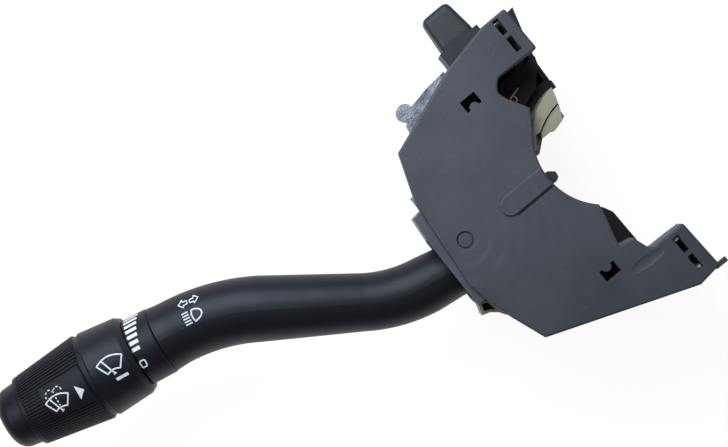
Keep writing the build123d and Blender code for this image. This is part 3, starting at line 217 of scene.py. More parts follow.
def mottle_group(detail: float = 6.0, roughness: float = 0.6,
                 cloud_band: tuple[float, float] = (0.35, 0.65),
                 speck_band: tuple[float, float] = (0.68, 0.74)) -> None:
    """Builds a soft cloud mask and a mask of small specks.

    Args:
        detail: The clouds' detail.
        roughness: The clouds' roughness.
        cloud_band: The noise values between which a cloud fades in.
        speck_band: The noise values between which a speck fades in.
    """
    group = new_group(Effect.MOTTLE, {"Cloud": 40.0, "Speck": 700.0}, ["Clouds", "Specks"])
    source, sink = group.nodes["in"].outputs, group.nodes["out"].inputs
    cloud = {"Vector": source["Vector"], "Scale": source["Cloud"], "Detail": detail, "Roughness": roughness}
    speck = {"Vector": source["Vector"], "Scale": source["Speck"]}
    for noise, (low, high), mask in ((cloud, cloud_band, "Clouds"), (speck, speck_band, "Specks")):
        raw = add_node(group, "TexNoise", noise).outputs["Fac"]
        shaped = add_node(group, "MapRange", {"Value": raw, "From Min": low, "From Max": high})
        group.links.new(shaped.outputs["Result"], sink[mask])


def flow_group(drift_scale: float = 45.0, drift_bend: float = 6.0, crest_low: float = -0.4,
               patch_band: tuple[float, float] = (0.5, 0.7)) -> None:
    """Builds the faint rings that moulding leaves around a gate, as a mask.

    Args:
        drift_scale: The scale of the noise that bends and breaks the rings.
        drift_bend: How far it bends them, in radians of a ring.
        crest_low: The wave value at which a ring fades in.
        patch_band: The noise values between which the rings fade in.
    """
    group = new_group(Effect.FLOW, {"Rings": 1150.0, "Inner": 0.014, "Outer": 0.042}, ["Lines"])
    source, sink = group.nodes["in"].outputs, group.nodes["out"].inputs
    reach = add_node(group, "VectorMath", {0: source["Vector"]}, operation="LENGTH").outputs["Value"]
    drift = add_node(group, "TexNoise", {"Vector": source["Vector"], "Scale": drift_scale}).outputs["Fac"]
    turns = calculate(group, "MULTIPLY", reach, source["Rings"])
    bent = calculate(group, "MULTIPLY_ADD", drift, drift_bend, turns)
    wave = calculate(group, "SINE", bent)
    crest = add_node(group, "MapRange", {"Value": wave, "From Min": crest_low})
    fade = add_node(group, "MapRange", {
        "Value": reach, "From Min": source["Inner"], "From Max": source["Outer"],
        "To Min": 1.0, "To Max": 0.0,
    })
    patchy = add_node(group, "MapRange", {
        "Value": drift, "From Min": patch_band[0], "From Max": patch_band[1],
    })
    lines = calculate(group, "MULTIPLY", crest.outputs["Result"], fade.outputs["Result"])
    lines = calculate(group, "MULTIPLY", lines, patchy.outputs["Result"])
    group.links.new(lines, sink["Lines"])


@dataclass(frozen=True)
class Finish:
    """One finish: its colours, gloss and surface grain."""

    name: str
    colour: tuple[float, float, float]
    shade: tuple[float, float, float]
    roughness: float = 0.5
    gloss_spread: float = 0.12
    metallic: float = 0.0
    fine: float = 2500.0
    broad: float = 120.0
    bump: float = 0.15
    cloud: float = 40.0
    speck: float = 700.0
    speck_colour: tuple[float, float, float] = (0.3, 0.3, 0.3)
    speck_amount: float = 0.0
    specular: float = 0.5
    tint: tuple[float, float, float] = (1.0, 1.0, 1.0)
    flow_centre: tuple[float, float, float] | None = None
    flow_amount: float = 0.28
    grain_height: float = 0.0002

    def effect(self, tree: bpy.types.NodeTree, effect: Effect, feeds: dict) -> bpy.types.Node:
        """Adds one of the shared effects to the material."""
        return add_node(tree, "Group", feeds, node_tree=bpy.data.node_groups[effect.value])

    def blend(self, tree: bpy.types.NodeTree, share: bpy.types.NodeSocket,
              under, over: tuple[float, float, float]) -> bpy.types.NodeSocket:
        """Lays one colour over another where a mask says.

        Args:
            tree: The material's nodes.
            share: The mask.
            under: The colour below, as a constant or a socket.
            over: The colour on top.

        Returns:
            The blended colour.
        """
        feeds = {"Factor": share, "A": under, "B": (*over, 1.0)}
        return add_node(tree, "Mix", feeds, data_type="RGBA").outputs["Result"]

    def colouring(self, tree: bpy.types.NodeTree, place: bpy.types.NodeSocket) -> bpy.types.NodeSocket:
        """Builds the colour: clouds of two tones, flow lines where asked, and specks.

        Args:
            tree: The material's nodes.
            place: The place on the object.

        Returns:
            The colour.
        """
        mottle = self.effect(tree, Effect.MOTTLE, {
            "Vector": place, "Cloud": self.cloud, "Speck": self.speck,
        })
        colour = self.blend(tree, mottle.outputs["Clouds"], (*self.colour, 1.0), self.shade)
        if self.flow_centre:
            shift = tuple(-value for value in self.flow_centre)
            centred = add_node(tree, "Mapping", {"Vector": place, "Location": shift})
            flow = self.effect(tree, Effect.FLOW, {"Vector": centred.outputs["Vector"]})
            lines = calculate(tree, "MULTIPLY", flow.outputs["Lines"], self.flow_amount)
            colour = self.blend(tree, lines, colour, self.speck_colour)
        specks = calculate(tree, "MULTIPLY", mottle.outputs["Specks"], self.speck_amount)
        return self.blend(tree, specks, colour, self.speck_colour)

    def build(self) -> bpy.types.Material:
        """Builds the material.

        Returns:
            The material.
        """
        material = bpy.data.materials.new(self.name)
        material.use_nodes = True
        tree = material.node_tree
        shader = tree.nodes["Principled BSDF"].inputs
        shader["Metallic"].default_value = self.metallic
        shader["Specular IOR Level"].default_value = self.specular
        shader["Specular Tint"].default_value = (*self.tint, 1.0)
        place = tree.nodes.new("ShaderNodeTexCoord").outputs["Object"]
        tree.links.new(self.colouring(tree, place), shader["Base Color"])
        grain = self.effect(tree, Effect.GRAIN, {"Vector": place, "Fine": self.fine, "Broad": self.broad})
        gloss = add_node(tree, "MapRange", {
            "Value": grain.outputs["Gloss"],
            "To Min": self.roughness - self.gloss_spread,
            "To Max": self.roughness + self.gloss_spread,
        })
        tree.links.new(gloss.outputs["Result"], shader["Roughness"])
        bump = add_node(tree, "Bump", {
            "Strength": self.bump, "Distance": self.grain_height, "Height": grain.outputs["Height"],
        })
        tree.links.new(bump.outputs["Normal"], shader["Normal"])
        return material


class Slot(Enum):
    """The material slots of the solids."""

    COVER = "cover_plastic"
    STALK = "stalk_plastic"
    NYLON = "cream_nylon"
    PAWL = "pawl_plastic"
    HOUSING = "black_housing"
    GREY = "grey_plastic"
    FRAME = "frame_plastic"
    ZINC = "cast_zinc"
    STEEL = "bright_steel"
    BRASS = "contact_brass"
    LAMINATE = "laminate"


# Colours are linear: the main tone, then the darker tone of the clouds, roughness and its spread.
FINISHES: dict[Slot, Finish] = {
    Slot.COVER: Finish(
        "cover_finish", (0.056, 0.063, 0.079), (0.037, 0.042, 0.055), 0.55, 0.06,
        bump=0.22, cloud=22.0, speck_colour=(0.12, 0.13, 0.14), speck_amount=0.25, specular=0.4,
        flow_centre=(-0.0621, 0.0025, 0.032),
    ),
    Slot.STALK: Finish(
        "stalk_finish", (0.0050, 0.0056, 0.0090), (0.0038, 0.0043, 0.0069), 0.46, 0.05,
        bump=0.12, speck_colour=(0.04, 0.04, 0.05), speck_amount=0.12, specular=0.32,
        tint=(0.82, 0.88, 1.0),
    ),
    Slot.NYLON: Finish(
        "nylon_finish", (0.32, 0.298, 0.222), (0.25, 0.230, 0.168), 0.5, 0.1, bump=0.1, cloud=90.0,
    ),
    Slot.PAWL: Finish("pawl_finish", (0.030, 0.024, 0.034), (0.018, 0.014, 0.021), 0.45, 0.1),
    Slot.HOUSING: Finish(
        "housing_finish", (0.009, 0.009, 0.011), (0.006, 0.006, 0.0075), 0.6, 0.1, bump=0.3,
        speck_colour=(0.05, 0.05, 0.05), speck_amount=0.12, specular=0.3,
    ),
    Slot.GREY: Finish("grey_finish", (0.24, 0.28, 0.33), (0.19, 0.22, 0.27), 0.5, 0.1),
    Slot.FRAME: Finish(
        "frame_finish", (0.065, 0.077, 0.098), (0.048, 0.057, 0.073), 0.5, 0.08, bump=0.2,
    ),
    Slot.ZINC: Finish(
        "zinc_finish", (0.40, 0.43, 0.48), (0.07, 0.085, 0.11), 0.42, 0.14, 0.65,
        fine=1500.0, bump=0.4, cloud=95.0, speck_colour=(0.05, 0.05, 0.06), speck_amount=0.4,
    ),
    Slot.STEEL: Finish("steel_finish", (0.50, 0.50, 0.48), (0.38, 0.38, 0.36), 0.3, 0.1, 1.0),
    Slot.BRASS: Finish("brass_finish", (0.62, 0.45, 0.20), (0.46, 0.31, 0.12), 0.32, 0.1, 1.0),
    Slot.LAMINATE: Finish("laminate_finish", (0.10, 0.055, 0.02), (0.07, 0.035, 0.012), 0.6, 0.1),
}
BUTTON_FINISH = Finish(
    "button_finish", (0.022, 0.0255, 0.032), (0.0175, 0.020, 0.0255), 0.5, 0.06,
    bump=0.15, speck_colour=(0.10, 0.11, 0.12), speck_amount=0.2, specular=0.27,
)
PRINT_FINISH = Finish(
    "print_ink", (0.72, 0.78, 0.86), (0.62, 0.68, 0.76), 0.6, 0.05, bump=0.05, cloud=600.0,
)
RED_INK = Finish("red_ink", (0.62, 0.03, 0.02), (0.5, 0.02, 0.02), 0.5, 0.05, bump=0.05)


@dataclass
class Dressing:
    """Gives every solid its finish, by its material slot."""

    frame: dict
    built: dict[str, bpy.types.Material] = field(default_factory=dict)
    button_nodes: tuple[str, ...] = ("hazard_button", "hazard_collar")

    def of(self, slot: Slot) -> bpy.types.Material:
        """Gives the finish of a material slot."""
        return self.built[slot.value]

    def build(self) -> None:
        """Builds the finishes and puts them on the solids."""
        grain_group()
        mottle_group()
        flow_group()
        for slot, finish in FINISHES.items():
            self.built[slot.value] = finish.build()
        for sub in self.frame["record"]["subparts"]:
            solid = self.frame["nodes"][sub["node"]]
            solid.data.materials.clear()
            solid.data.materials.append(self.built[sub["material_slot"]])
            LOG.info("finish %s on %s", sub["material_slot"], sub["node"])
        button = BUTTON_FINISH.build()
        for node in self.button_nodes:
            self.frame["nodes"][node].data.materials[0] = button


# ---- small pieces of the casing, and dark blocks of painted shade ----
@dataclass
class SlotShadeBlocks:
    """Dark hook-shaped blocks seen deep in the cover's top arm's two slots: painted shade, dark pieces that
    stand where the slots show only shade.
    """

    finish: bpy.types.Material
    middle: tuple[float, float] = (-4.2, 48.9)
    size: tuple[float, float, float] = (1.7, 5.4, 14.0)
    spacing: float = 7.8
    top: float = 19.6
    nose_share: float = 0.7
    soft: float = 0.25

    def build(self) -> None:
        """Builds one hook and its copy."""
        first = self.hook()
        second = first.copy()
        second.data = first.data.copy()
        second.name = "latch_hook_outer"
        bpy.context.scene.collection.objects.link(second)
        x, y = self.middle
        level = (self.top - self.size[2] / 2) * MM
        for piece, side in ((first, -1), (second, 1)):
            piece.location = (x * MM, (y + side * self.spacing / 2) * MM, level)
            apply_place(piece)
            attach(piece, "housing")
            LOG.info("piece %s", piece.name)

    def hook(self) -> bpy.types.Object:
        """Shapes one hook: a bar with a sloped nose and soft edges.

        Returns:
            The hook, about the origin.
        """
        clear_selection()
        bpy.ops.mesh.primitive_cube_add(size=1.0)
        piece = bpy.context.object
        piece.name = "latch_hook_inner"
        piece.scale = tuple(side * MM for side in self.size)
        apply_place(piece)
        for vertex in piece.data.vertices:
            if vertex.co.z > 0:
                vertex.co.y *= self.nose_share
        bevel = piece.modifiers.new("soft", "BEVEL")
        bevel.width = self.soft * MM
        bevel.segments = 2
        make_active(piece)
        bpy.ops.object.modifier_apply(modifier=bevel.name)
        piece.data.materials.append(self.finish)
        return piece


@dataclass(frozen=True)
class Slab:
    """One flat moulded piece with soft edges; its outline runs anticlockwise, seen from above."""

    name: str
    slot: Slot
    corners: tuple[tuple[float, float], ...]
    top: float
    bottom: float
    soft: float = 0.15

    def build(self, finish: bpy.types.Material) -> None:
        """Builds the piece.

        Args:
            finish: Its material.
        """
        rim = [(x * MM, y * MM, self.top * MM) for x, y in self.corners]
        mesh = bpy.data.meshes.new(self.name)
        mesh.from_pydata(rim, [], [tuple(range(len(rim)))])
        piece = bpy.data.objects.new(self.name, mesh)
        bpy.context.scene.collection.objects.link(piece)
        slab = piece.modifiers.new("slab", "SOLIDIFY")
        slab.thickness = (self.top - self.bottom) * MM
        slab.offset = -1.0
        bevel = piece.modifiers.new("soft", "BEVEL")
        bevel.width = self.soft * MM
        bevel.segments = 2
        make_active(piece)
        for modifier in (slab.name, bevel.name):
            bpy.ops.object.modifier_apply(modifier=modifier)
        piece.data.materials.append(finish)
        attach(piece, "housing")
        LOG.info("piece %s", piece.name)


# The web closes the pocket beside the cover's low arm, just under the housing's rim. The tile
# stands on the column guide's low step, a hair's gap from its face; the tie is that gap's end.
STEP_LEVEL = 17.9
SLABS = (
    Slab("pocket_web", Slot.HOUSING, (
        (-19.5, -29.5), (-20.8, -35.7), (-17.1, -38.8), (-13.6, -38.4),
        (-13.2, -33.0), (-13.1, -28.3), (-14.3, -23.7), (-14.6, -22.4),
    ), top=3.9, bottom=2.4),
    Slab("guide_tile", Slot.NYLON, (
        (-9.0, 17.6), (-12.7, 16.0), (-16.2, 14.3), (-17.4, 12.4),
        (-12.7, 12.3), (-12.1, 11.7), (-7.2, 12.9), (-4.6, 18.3),
    ), top=25.2, bottom=STEP_LEVEL),
    Slab("guide_tie", Slot.NYLON, (
        (-6.7, 19.0), (-5.5, 17.0), (-4.2, 18.3), (-4.4, 19.8),
    ), top=22.0, bottom=STEP_LEVEL),
)


# ---- prints ----
# The largest step along a stroke, so that it follows a curved surface.
STROKE_STEP = 0.5
WELD_PLAN = 0.0001
WELD_PART = 0.000001


def close_mesh(piece: bpy.types.Object, weld: float) -> None:
    """Welds an object's doubled points and turns its faces outward.

    Args:
        piece: The object.
        weld: The distance within which points are one.
    """
    make_active(piece)
    bpy.ops.object.mode_set(mode="EDIT")
    bpy.ops.mesh.select_all(action="SELECT")
    bpy.ops.mesh.remove_doubles(threshold=weld)
    bpy.ops.mesh.normals_make_consistent(inside=False)
    bpy.ops.object.mode_set(mode="OBJECT")


@dataclass
class Stroke:
    """One printed line of even width, through points in millimetres."""

    points: list[tuple[float, float]]
    width: float = 0.6
    closed: bool = False

    def build(self) -> bpy.types.Object:
        """Builds the line flat in the XY plane, as a thin rounded bar.

        Returns:
            The line's object.
        """
        curve = bpy.data.curves.new("stroke", "CURVE")
        curve.dimensions = "3D"
        curve.bevel_depth = self.width / 2
        curve.bevel_resolution = 1
        curve.use_fill_caps = True
        spline = curve.splines.new("POLY")
        fine = self.divided()
        spline.points.add(len(fine) - 1)
        for point, (x, y) in zip(spline.points, fine):
            point.co = (x, y, 0.0, 1.0)
        spline.use_cyclic_u = self.closed
        line = bpy.data.objects.new("stroke", curve)
        bpy.context.scene.collection.objects.link(line)
        make_active(line)
        bpy.ops.object.convert(target="MESH")
        return bpy.context.view_layer.objects.active

    def divided(self) -> list[tuple[float, float]]:
        """Adds points along the line, so that it can follow a curved surface.

        Returns:
            The points, at most one step apart.
        """
        corners = self.points + ([self.points[0]] if self.closed else [])
        fine = [corners[0]]
        for start, end in zip(corners, corners[1:]):
            count = max(1, math.ceil(math.dist(start, end) / STROKE_STEP))
            for index in range(1, count + 1):
                share = index / count
                fine.append((
                    start[0] + (end[0] - start[0]) * share,
                    start[1] + (end[1] - start[1]) * share,
                ))
        return fine[:-1] if self.closed else fine


@dataclass
class Patch:
    """A printed area between four corners, in millimetres; two may be the same."""

    corners: tuple[tuple[float, float], ...]
    cuts: int = 7
    width: float = 1.0

    def build(self) -> bpy.types.Object:
        """Builds the area flat in the XY plane, as a thin plate.

        Returns:
            The area's object.
        """
        clear_selection()
        bpy.ops.mesh.primitive_plane_add(size=1.0)
        area = bpy.context.object
        bpy.ops.object.mode_set(mode="EDIT")
        bpy.ops.mesh.subdivide(number_cuts=self.cuts)
        bpy.ops.mesh.extrude_region_move(TRANSFORM_OT_translate={"value": (0, 0, 1)})
        bpy.ops.object.mode_set(mode="OBJECT")
        low_left, low_right, high_right, high_left = (Vector(corner) for corner in self.corners)
        for vertex in area.data.vertices:
            across, up = vertex.co.x + 0.5, vertex.co.y + 0.5
            spot = low_left.lerp(low_right, across).lerp(high_left.lerp(high_right, across), up)
            vertex.co = (spot.x, spot.y, (vertex.co.z - 0.5) * self.width)
        close_mesh(area, WELD_PLAN)
        return area


class Facing(Enum):
    """The way that a print's surface faces, with the axes that carry its plan."""

    UP = (0, 1, 2)
    REAR = (0, 2, 1)


def knob_line(points: list[tuple[float, float]]) -> list[tuple[float, float]]:
    """Moves points, given as (along, across) on the knob, into the shared frame."""
    return [on_knob(along, across) for along, across in points]


def on_knob(along: float, across: float) -> tuple[float, float]:
    """Finds a point beside the knob's axis, in the shared frame.

    Args:
        along: Distance outward from the shell's end.
        across: Distance towards the hazard button's side.

    Returns:
        Its X and Y in millimetres.
    """
    x = KNOB_ORIGIN[0] + along * OUTWARD[0] + across * ACROSS[0]
    y = KNOB_ORIGIN[1] + along * OUTWARD[1] + across * ACROSS[1]
    return x, y


@dataclass
class Print:
    """A group of printed lines that lies on one solid, found by rays from far off."""

    name: str
    body: str
    carrier: bpy.types.Object
    strokes: list[Stroke | Patch]
    ink: bpy.types.Material
    slot: str
    relief: float = 0.05
    facing: Facing = Facing.UP
    far: float = 0.1

    def build(self) -> bpy.types.Object:
        """Builds the marks and lays them on the solid's surface.

        Returns:
            The print's object.
        """
        whole = join_pieces([stroke.build() for stroke in self.strokes], self.name)
        half = max(stroke.width for stroke in self.strokes) / 2
        first, second, depth = self.facing.value
        towards = Vector((0, 0, 0))
        towards[depth] = -1.0
        for vertex in whole.data.vertices:
            lift = vertex.co.z / half * self.relief / 2 + self.relief / 2
            spot = Vector((0, 0, 0))
            spot[first], spot[second], spot[depth] = vertex.co.x * MM, vertex.co.y * MM, self.far
            found, hit, _, _ = self.carrier.ray_cast(spot, towards)
            spot[depth] = (hit[depth] if found else 0.0) + lift * MM
            vertex.co = spot
        whole.data.materials.append(self.ink)
        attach(whole, self.body)
        LOG.info("print %s", self.name)
        return whole


@dataclass
class KnobGrip:
    """The tapered grip: its ribs, smooth pad, rim and bores, in millimetres."""

    finish: bpy.types.Material
    start: float = 28.3
    flare: float = 53.3
    end: float = 54.9
    start_radius: float = 17.0
    end_radius: float = 13.7
    rib_count: int = 76
    rib_depth: float = 0.55
    pad_end: float = 45.8
    pad_raise: float = 0.2
    pad_span: tuple[float, float] = (math.radians(-28.0), math.radians(22.5))
    rim_round: float = 0.6
    lead: float = 0.15
    rib_start: float = 0.5
    pad_step: float = 0.1
    flare_step: float = 0.3
    lip: tuple[tuple[float, float], ...] = ((0.7, 0.1), (0.2, 0.3), (0.0, 0.7))
    crease: float = math.radians(25)
    hub_radius: float = 8.05
    bore_radius: float = 12.4
    bore_start: float = 39.3

    def stations(self) -> list[tuple[float, float, float]]:
        """Lists the rings of the grip's closed section.

        Returns:
            Each ring's place along the knob, its radius and its share of the rib depth.
        """
        def cone(along: float) -> float:
            share = (along - self.start) / (self.flare - self.start)
            return self.start_radius + (self.end_radius - self.start_radius) * share

        ribbed = (self.start + self.rib_start, self.pad_end - self.pad_step,
                  self.pad_end + self.pad_step, self.flare - self.flare_step)
        return [
            (self.start, self.hub_radius, 0.0),
            (self.start, cone(self.start) - self.rim_round, 0.0),
            (self.start + self.lead, cone(self.start) - self.rim_round / 2, 0.0),
            *((along, cone(along), 1.0) for along in ribbed),
            (self.flare, self.end_radius - self.lip[0][1], 0.0),
            *((self.end - back, self.end_radius - inward, 0.0) for back, inward in self.lip),
            (self.end, self.bore_radius, 0.0),
            (self.bore_start, self.bore_radius, 0.0),
            (self.bore_start, self.hub_radius, 0.0),
            (self.start, self.hub_radius, 0.0),
        ]

    def rib_profile(self) -> list[tuple[float, float]]:
        """Lists one rib's points, as shares of its width and of its depth."""
        return [(-0.12, 1.0), (0.12, 1.0), (0.22, 0.15), (0.38, 0.0), (0.62, 0.0), (0.78, 0.15)]

    def build(self) -> bpy.types.Object:
        """Builds the grip in place of its plain solid.

        Returns:
            The grip's object.
        """
        profile = self.rib_profile()
        count = self.rib_count * len(profile)
        clear_selection()
        bpy.ops.mesh.primitive_circle_add(vertices=count, radius=1.0)
        grip = bpy.context.object
        grip.name = "ribbed_grip"
        rings = self.stations()
        bpy.ops.object.mode_set(mode="EDIT")
        bpy.ops.mesh.select_all(action="SELECT")
        for _ in rings[1:]:
            bpy.ops.mesh.extrude_region_move(TRANSFORM_OT_translate={"value": (0, 0, 1)})
        bpy.ops.object.mode_set(mode="OBJECT")
        for vertex in grip.data.vertices:
            around = round(math.atan2(vertex.co.y, vertex.co.x) / math.tau * count) % count
            rib, step = divmod(around, len(profile))
            offset, depth = profile[step]
            turn = math.tau * (rib + offset) / self.rib_count
            turn = math.remainder(turn, math.tau)
            along, radius, ribbed = rings[round(vertex.co.z)]
            if ribbed and self.pad_span[0] < turn < self.pad_span[1] and along < self.pad_end:
                radius += self.pad_raise
            else:
                radius -= self.rib_depth * depth * ribbed
            x, y = on_knob(along, radius * math.sin(turn))
            vertex.co = (x * MM, y * MM, (STALK_LEVEL + radius * math.cos(turn)) * MM)
        close_mesh(grip, WELD_PART)
        bpy.ops.object.shade_smooth_by_angle(angle=self.crease)
        grip.data.materials.append(self.finish)
        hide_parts("knob_grip")
        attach(grip, "knob")
        bpy.context.view_layer.update()
        LOG.info("piece ribbed_grip")
        return grip


@dataclass
class KnobPrints:
    """The wiper scale and signs on the knob's rings and grip."""

    frame: dict
    grip: bpy.types.Object
    ink: bpy.types.Material
    scale_radius: float = 12.9
    bar_count: int = 7
    bar_start: float = 7.0
    bar_step: float = 11.1
    bar_length: float = 3.2
    bar_growth: float = 0.58
    bar_width: float = 1.4
    bar_end: float = 9.7
    bar_limit: float = math.radians(80)
    line: float = 0.6
    dash_line: float = 0.5
    arrow_cuts: int = 11
    wiper_tip: tuple[float, float] = (22.9, 2.6)
    wiper_size: float = 9.9
    washer_tip: tuple[float, float] = (45.4, -0.57)
    washer_size: float = 9.2

    def scale_bars(self) -> list[Patch]:
        """Lists the bars that grow around the fixed ring."""
        bars = []
        for index in range(self.bar_count):
            length = self.bar_length + self.bar_growth * index
            middle = math.radians(self.bar_start + self.bar_step * index)
            half = self.bar_width / self.scale_radius / 2
            low = self.scale_radius * math.sin(middle - half)
            high = self.scale_radius * math.sin(min(middle + half, self.bar_limit))
            ends = (self.bar_end - length, self.bar_end)
            corners = knob_line([(ends[0], low), (ends[1], low), (ends[1], high), (ends[0], high)])
            bars.append(Patch(tuple(corners)))
        return bars

    def windscreen(self, tip: tuple[float, float], size: float) -> list[Stroke]:
        """Draws a windscreen with its wiper.

        Args:
            tip: The sign's outer low corner, as (along, across).
            size: The sign's width.

        Returns:
            Its lines in the shared frame.
        """
        def at(right: float, up: float) -> tuple[float, float]:
            return on_knob(tip[0] - right * size, tip[1] + up * size)

        pane = [(0.0, 0.0), (0.124, 0.065), (0.26, 0.12), (0.41, 0.15), (0.57, 0.15), (0.737, 0.11),
                (0.878, 0.05), (1.0, -0.023), (0.745, -0.43), (0.638, -0.385), (0.518, -0.365),
                (0.38, -0.38), (0.243, -0.435)]
        arm = [at(0.235, 0.085), at(0.49, -0.53)]
        return [
            Stroke([at(*point) for point in pane], self.line, True),
            Stroke(arm, self.line),
            Stroke([at(0.475, -0.50), at(0.495, -0.545)], 2.0 * self.line),
        ]

    def build(self) -> None:
        """Builds every print on the knob."""
        nodes = self.frame["nodes"]
        slot = Slot.STALK.value
        zero = [(8.9, -3.15), (7.6, -3.15), (7.25, -3.5), (7.25, -5.3), (7.6, -5.65), (8.9, -5.65),
                (9.25, -5.3), (9.25, -3.5)]
        fixed = [*self.scale_bars(), Stroke(knob_line(zero), self.line, True)]
        Print("scale_signs", "stalk", nodes["scale_ring"], fixed, self.ink, slot).build()
        bar = [(14.1, -5.3), (18.8, -5.3), (18.8, -4.2), (14.1, -4.2)]
        turning = [Patch(tuple(knob_line(bar))), *self.windscreen(self.wiper_tip, self.wiper_size)]
        Print("pointer_signs", "knob", nodes["pointer_ring"], turning, self.ink, slot).build()
        arrow = [(33.15, -5.0), (33.15, 0.45), (30.4, -2.25), (30.4, -2.25)]
        washer = self.windscreen(self.washer_tip, self.washer_size)
        grip = [*washer, *self.jets(), Patch(tuple(knob_line(arrow)), self.arrow_cuts)]
        Print("grip_signs", "knob", self.grip, grip, self.ink, slot).build()

    def jets(self) -> list[Stroke]:
        """Lists the dashes of the two water jets and of the line they rise from."""
        dashes = [
            ((44.2, 1.1), (44.1, 1.85)), ((43.75, 2.55), (43.25, 3.15)), ((42.5, 3.5), (41.7, 3.3)),
            ((41.1, 2.7), (40.85, 1.9)), ((40.45, 2.75), (39.85, 3.25)), ((39.2, 3.4), (38.5, 3.15)),
            ((38.0, 2.6), (37.7, 1.7)), ((40.95, 0.1), (40.95, -0.65)), ((40.9, -1.3), (40.9, -2.05)),
            ((40.85, -2.7), (40.8, -3.3)),
        ]
        return [Stroke(knob_line(list(dash)), self.dash_line) for dash in dashes]


@dataclass
class HazardPrint:
    """The double red triangle on the hazard button's outer face."""

    frame: dict
    ink: bpy.types.Material
    size: float = 5.4
    inner_share: float = 0.45
    line: float = 0.5

    def build(self) -> None:
        """Builds the sign on the face that the driver pushes."""
        button = self.frame["nodes"]["hazard_button"]
        low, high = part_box("hazard_button")
        middle = (low + high) / 2 / MM
        strokes = []
        for share in (1.0, self.inner_share):
            reach = self.size * share / math.sqrt(3)
            corners = []
            for turn in (90, 210, 330):
                angle = math.radians(turn)
                corners.append((middle.x + reach * math.cos(angle), middle.z + reach * math.sin(angle)))
            strokes.append(Stroke(corners, self.line, True))
        Print("hazard_sign", "hazard", button, strokes, self.ink, Slot.COVER.value,
              facing=Facing.REAR).build()


@dataclass
class StalkPrints:
    """The turn-signal arrows and the high-beam sign on the stalk, in plan."""

    frame: dict
    ink: bpy.types.Material
    arrow_line: float = 0.42
    lamp_line: float = 0.55
    ray_line: float = 0.52

    def build(self) -> None:
        """Builds the signs on the stalk's shell."""
        shell = self.frame["nodes"]["stalk_shell"]
        left = [(-156.4, 50.1), (-154.3, 50.9), (-154.6, 50.1), (-153.0, 49.75), (-153.35, 48.6),
                (-155.0, 48.95), (-155.2, 48.1)]
        right = [(-148.9, 48.0), (-150.15, 49.6), (-150.5, 48.85), (-152.1, 49.25), (-152.4, 48.2),
                 (-150.9, 47.8), (-151.2, 47.1)]
        lamp = [(-153.6, 45.9), (-152.4, 45.5), (-151.35, 44.8), (-150.8, 43.8), (-151.0, 42.7),
                (-152.2, 41.95), (-154.6, 41.6), (-154.75, 42.9), (-154.5, 44.3)]
        rays = [
            ((-157.3, 46.75), (-155.0, 46.2)),
            ((-157.6, 45.75), (-155.25, 45.2)),
            ((-157.85, 44.75), (-155.45, 44.15)),
            ((-158.1, 43.7), (-155.6, 43.1)),
            ((-158.3, 42.65), (-155.8, 42.05)),
        ]
        strokes = [Stroke(arrow, self.arrow_line, True) for arrow in (left, right)]
        strokes.append(Stroke(lamp, self.lamp_line, True))
        strokes += [Stroke(list(ray), self.ray_line) for ray in rays]
        Print("stalk_signs", "stalk", shell, strokes, self.ink, Slot.STALK.value).build()


# ---- studio ----
@dataclass(frozen=True)
class Lamp:
    """One square lamp that faces the part; places and sizes in metres, power in watts."""

    name: str
    place: tuple[float, float, float]
    size: float
    power: float
    colour: tuple[float, float, float] = WHITE[:3]
    aim: tuple[float, float, float] = (-0.08, 0.02, 0.0)

    def build(self) -> None:
        """Hangs the lamp."""
        light = bpy.data.lights.new(self.name, "AREA")
        light.size = self.size
        light.energy = self.power
        light.color = self.colour
        lamp = bpy.data.objects.new(self.name, light)
        lamp.location = self.place
        towards = Vector(self.aim) - Vector(self.place)
        lamp.rotation_euler = towards.to_track_quat("-Z", "Y").to_euler()
        bpy.context.scene.collection.objects.link(lamp)


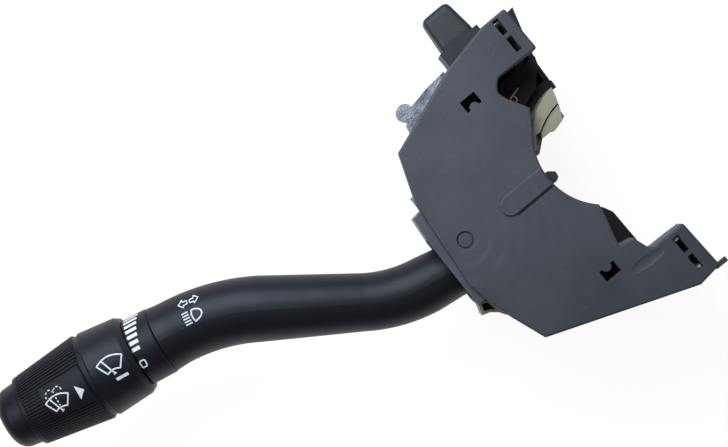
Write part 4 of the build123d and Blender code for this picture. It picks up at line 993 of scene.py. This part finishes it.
@dataclass
class Studio:
    """The floor, lamps, world and camera; lengths in metres."""

    floor_level: float = -0.034
    floor_size: float = 6.0
    floor_colour: tuple[float, float, float, float] = (0.85, 0.85, 0.85, 1.0)
    floor_roughness: float = 0.9
    glow: float = 1.15
    glow_share: float = 0.8
    world_level: float = 0.17
    camera_place: tuple[float, float, float] = (-0.086, 0.030, 0.592)
    camera_turn: float = math.radians(-39.8)
    lens: float = 77.98
    film: float = 36.0
    near: float = 0.01
    lamps: tuple[Lamp, ...] = (
        Lamp("key_lamp", (-0.05, 0.25, 0.28), 0.28, 1.68, (0.86, 0.93, 1.0)),
        Lamp("fill_lamp", (0.5, -0.4, 0.7), 0.6, 0.25),
        Lamp("side_lamp", (-0.45, 0.25, 0.45), 0.3, 0.8),
    )

    def floor(self) -> None:
        """Lays the floor under the part: near white from the camera, with the part's shadow."""
        clear_selection()
        bpy.ops.mesh.primitive_plane_add(size=self.floor_size, location=(0, 0, self.floor_level))
        floor = bpy.context.object
        floor.name = "studio_floor"
        apply_place(floor)
        material = bpy.data.materials.new("studio_floor")
        material.use_nodes = True
        tree = material.node_tree
        shader = tree.nodes["Principled BSDF"]
        shader.inputs["Base Color"].default_value = self.floor_colour
        shader.inputs["Roughness"].default_value = self.floor_roughness
        glow = add_node(tree, "Emission", {"Strength": self.glow})
        rays = tree.nodes.new("ShaderNodeLightPath").outputs
        seen = calculate(tree, "MAXIMUM", rays["Is Camera Ray"], rays["Is Glossy Ray"])
        seen = calculate(tree, "MAXIMUM", seen, rays["Is Transmission Ray"])
        share = calculate(tree, "MULTIPLY", seen, self.glow_share)
        mix = add_node(tree, "MixShader", {0: share, 1: shader.outputs[0], 2: glow.outputs[0]})
        tree.links.new(mix.outputs[0], tree.nodes["Material Output"].inputs["Surface"])
        floor.data.materials.append(material)

    def sky(self) -> None:
        """Sets a dim even world that looks white from the camera."""
        world = bpy.data.worlds.new("studio")
        world.use_nodes = True
        tree = world.node_tree
        dim = tree.nodes["Background"]
        dim.inputs["Color"].default_value = WHITE
        dim.inputs["Strength"].default_value = self.world_level
        white = add_node(tree, "Background", {"Color": WHITE})
        rays = tree.nodes.new("ShaderNodeLightPath").outputs
        by_camera = rays["Is Camera Ray"]
        mix = add_node(tree, "MixShader", {0: by_camera, 1: dim.outputs[0], 2: white.outputs[0]})
        tree.links.new(mix.outputs[0], tree.nodes["World Output"].inputs["Surface"])
        bpy.context.scene.world = world

    def camera(self) -> None:
        """Hangs the camera straight above the part."""
        lens = bpy.data.cameras.new("camera")
        lens.lens = self.lens
        lens.sensor_width = self.film
        lens.clip_start = self.near
        camera = bpy.data.objects.new("camera", lens)
        camera.location = self.camera_place
        camera.rotation_euler = (0.0, 0.0, self.camera_turn)
        bpy.context.scene.collection.objects.link(camera)
        bpy.context.scene.camera = camera

    def build(self) -> None:
        """Builds the whole studio."""
        self.floor()
        for lamp in self.lamps:
            lamp.build()
        self.sky()
        self.camera()
        bpy.context.scene.view_settings.view_transform = "Standard"
        LOG.info("studio built")


def main(frame: dict) -> None:
    """Builds every sub-assembly in order.
    """
    logging.basicConfig(level=logging.INFO)
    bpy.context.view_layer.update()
    dressing = Dressing(frame)
    dressing.build()
    # Painted shade: dark blocks fill the top-arm slots, where only shade shows.
    SlotShadeBlocks(dressing.of(Slot.HOUSING)).build()
    for slab in SLABS:
        slab.build(dressing.of(slab.slot))
    ink = PRINT_FINISH.build()
    grip = KnobGrip(dressing.of(Slot.STALK)).build()
    KnobPrints(frame, grip, ink).build()
    StalkPrints(frame, ink).build()
    HazardPrint(frame, RED_INK.build()).build()
    Studio().build()


if __name__ == "__main__":
    main(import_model())
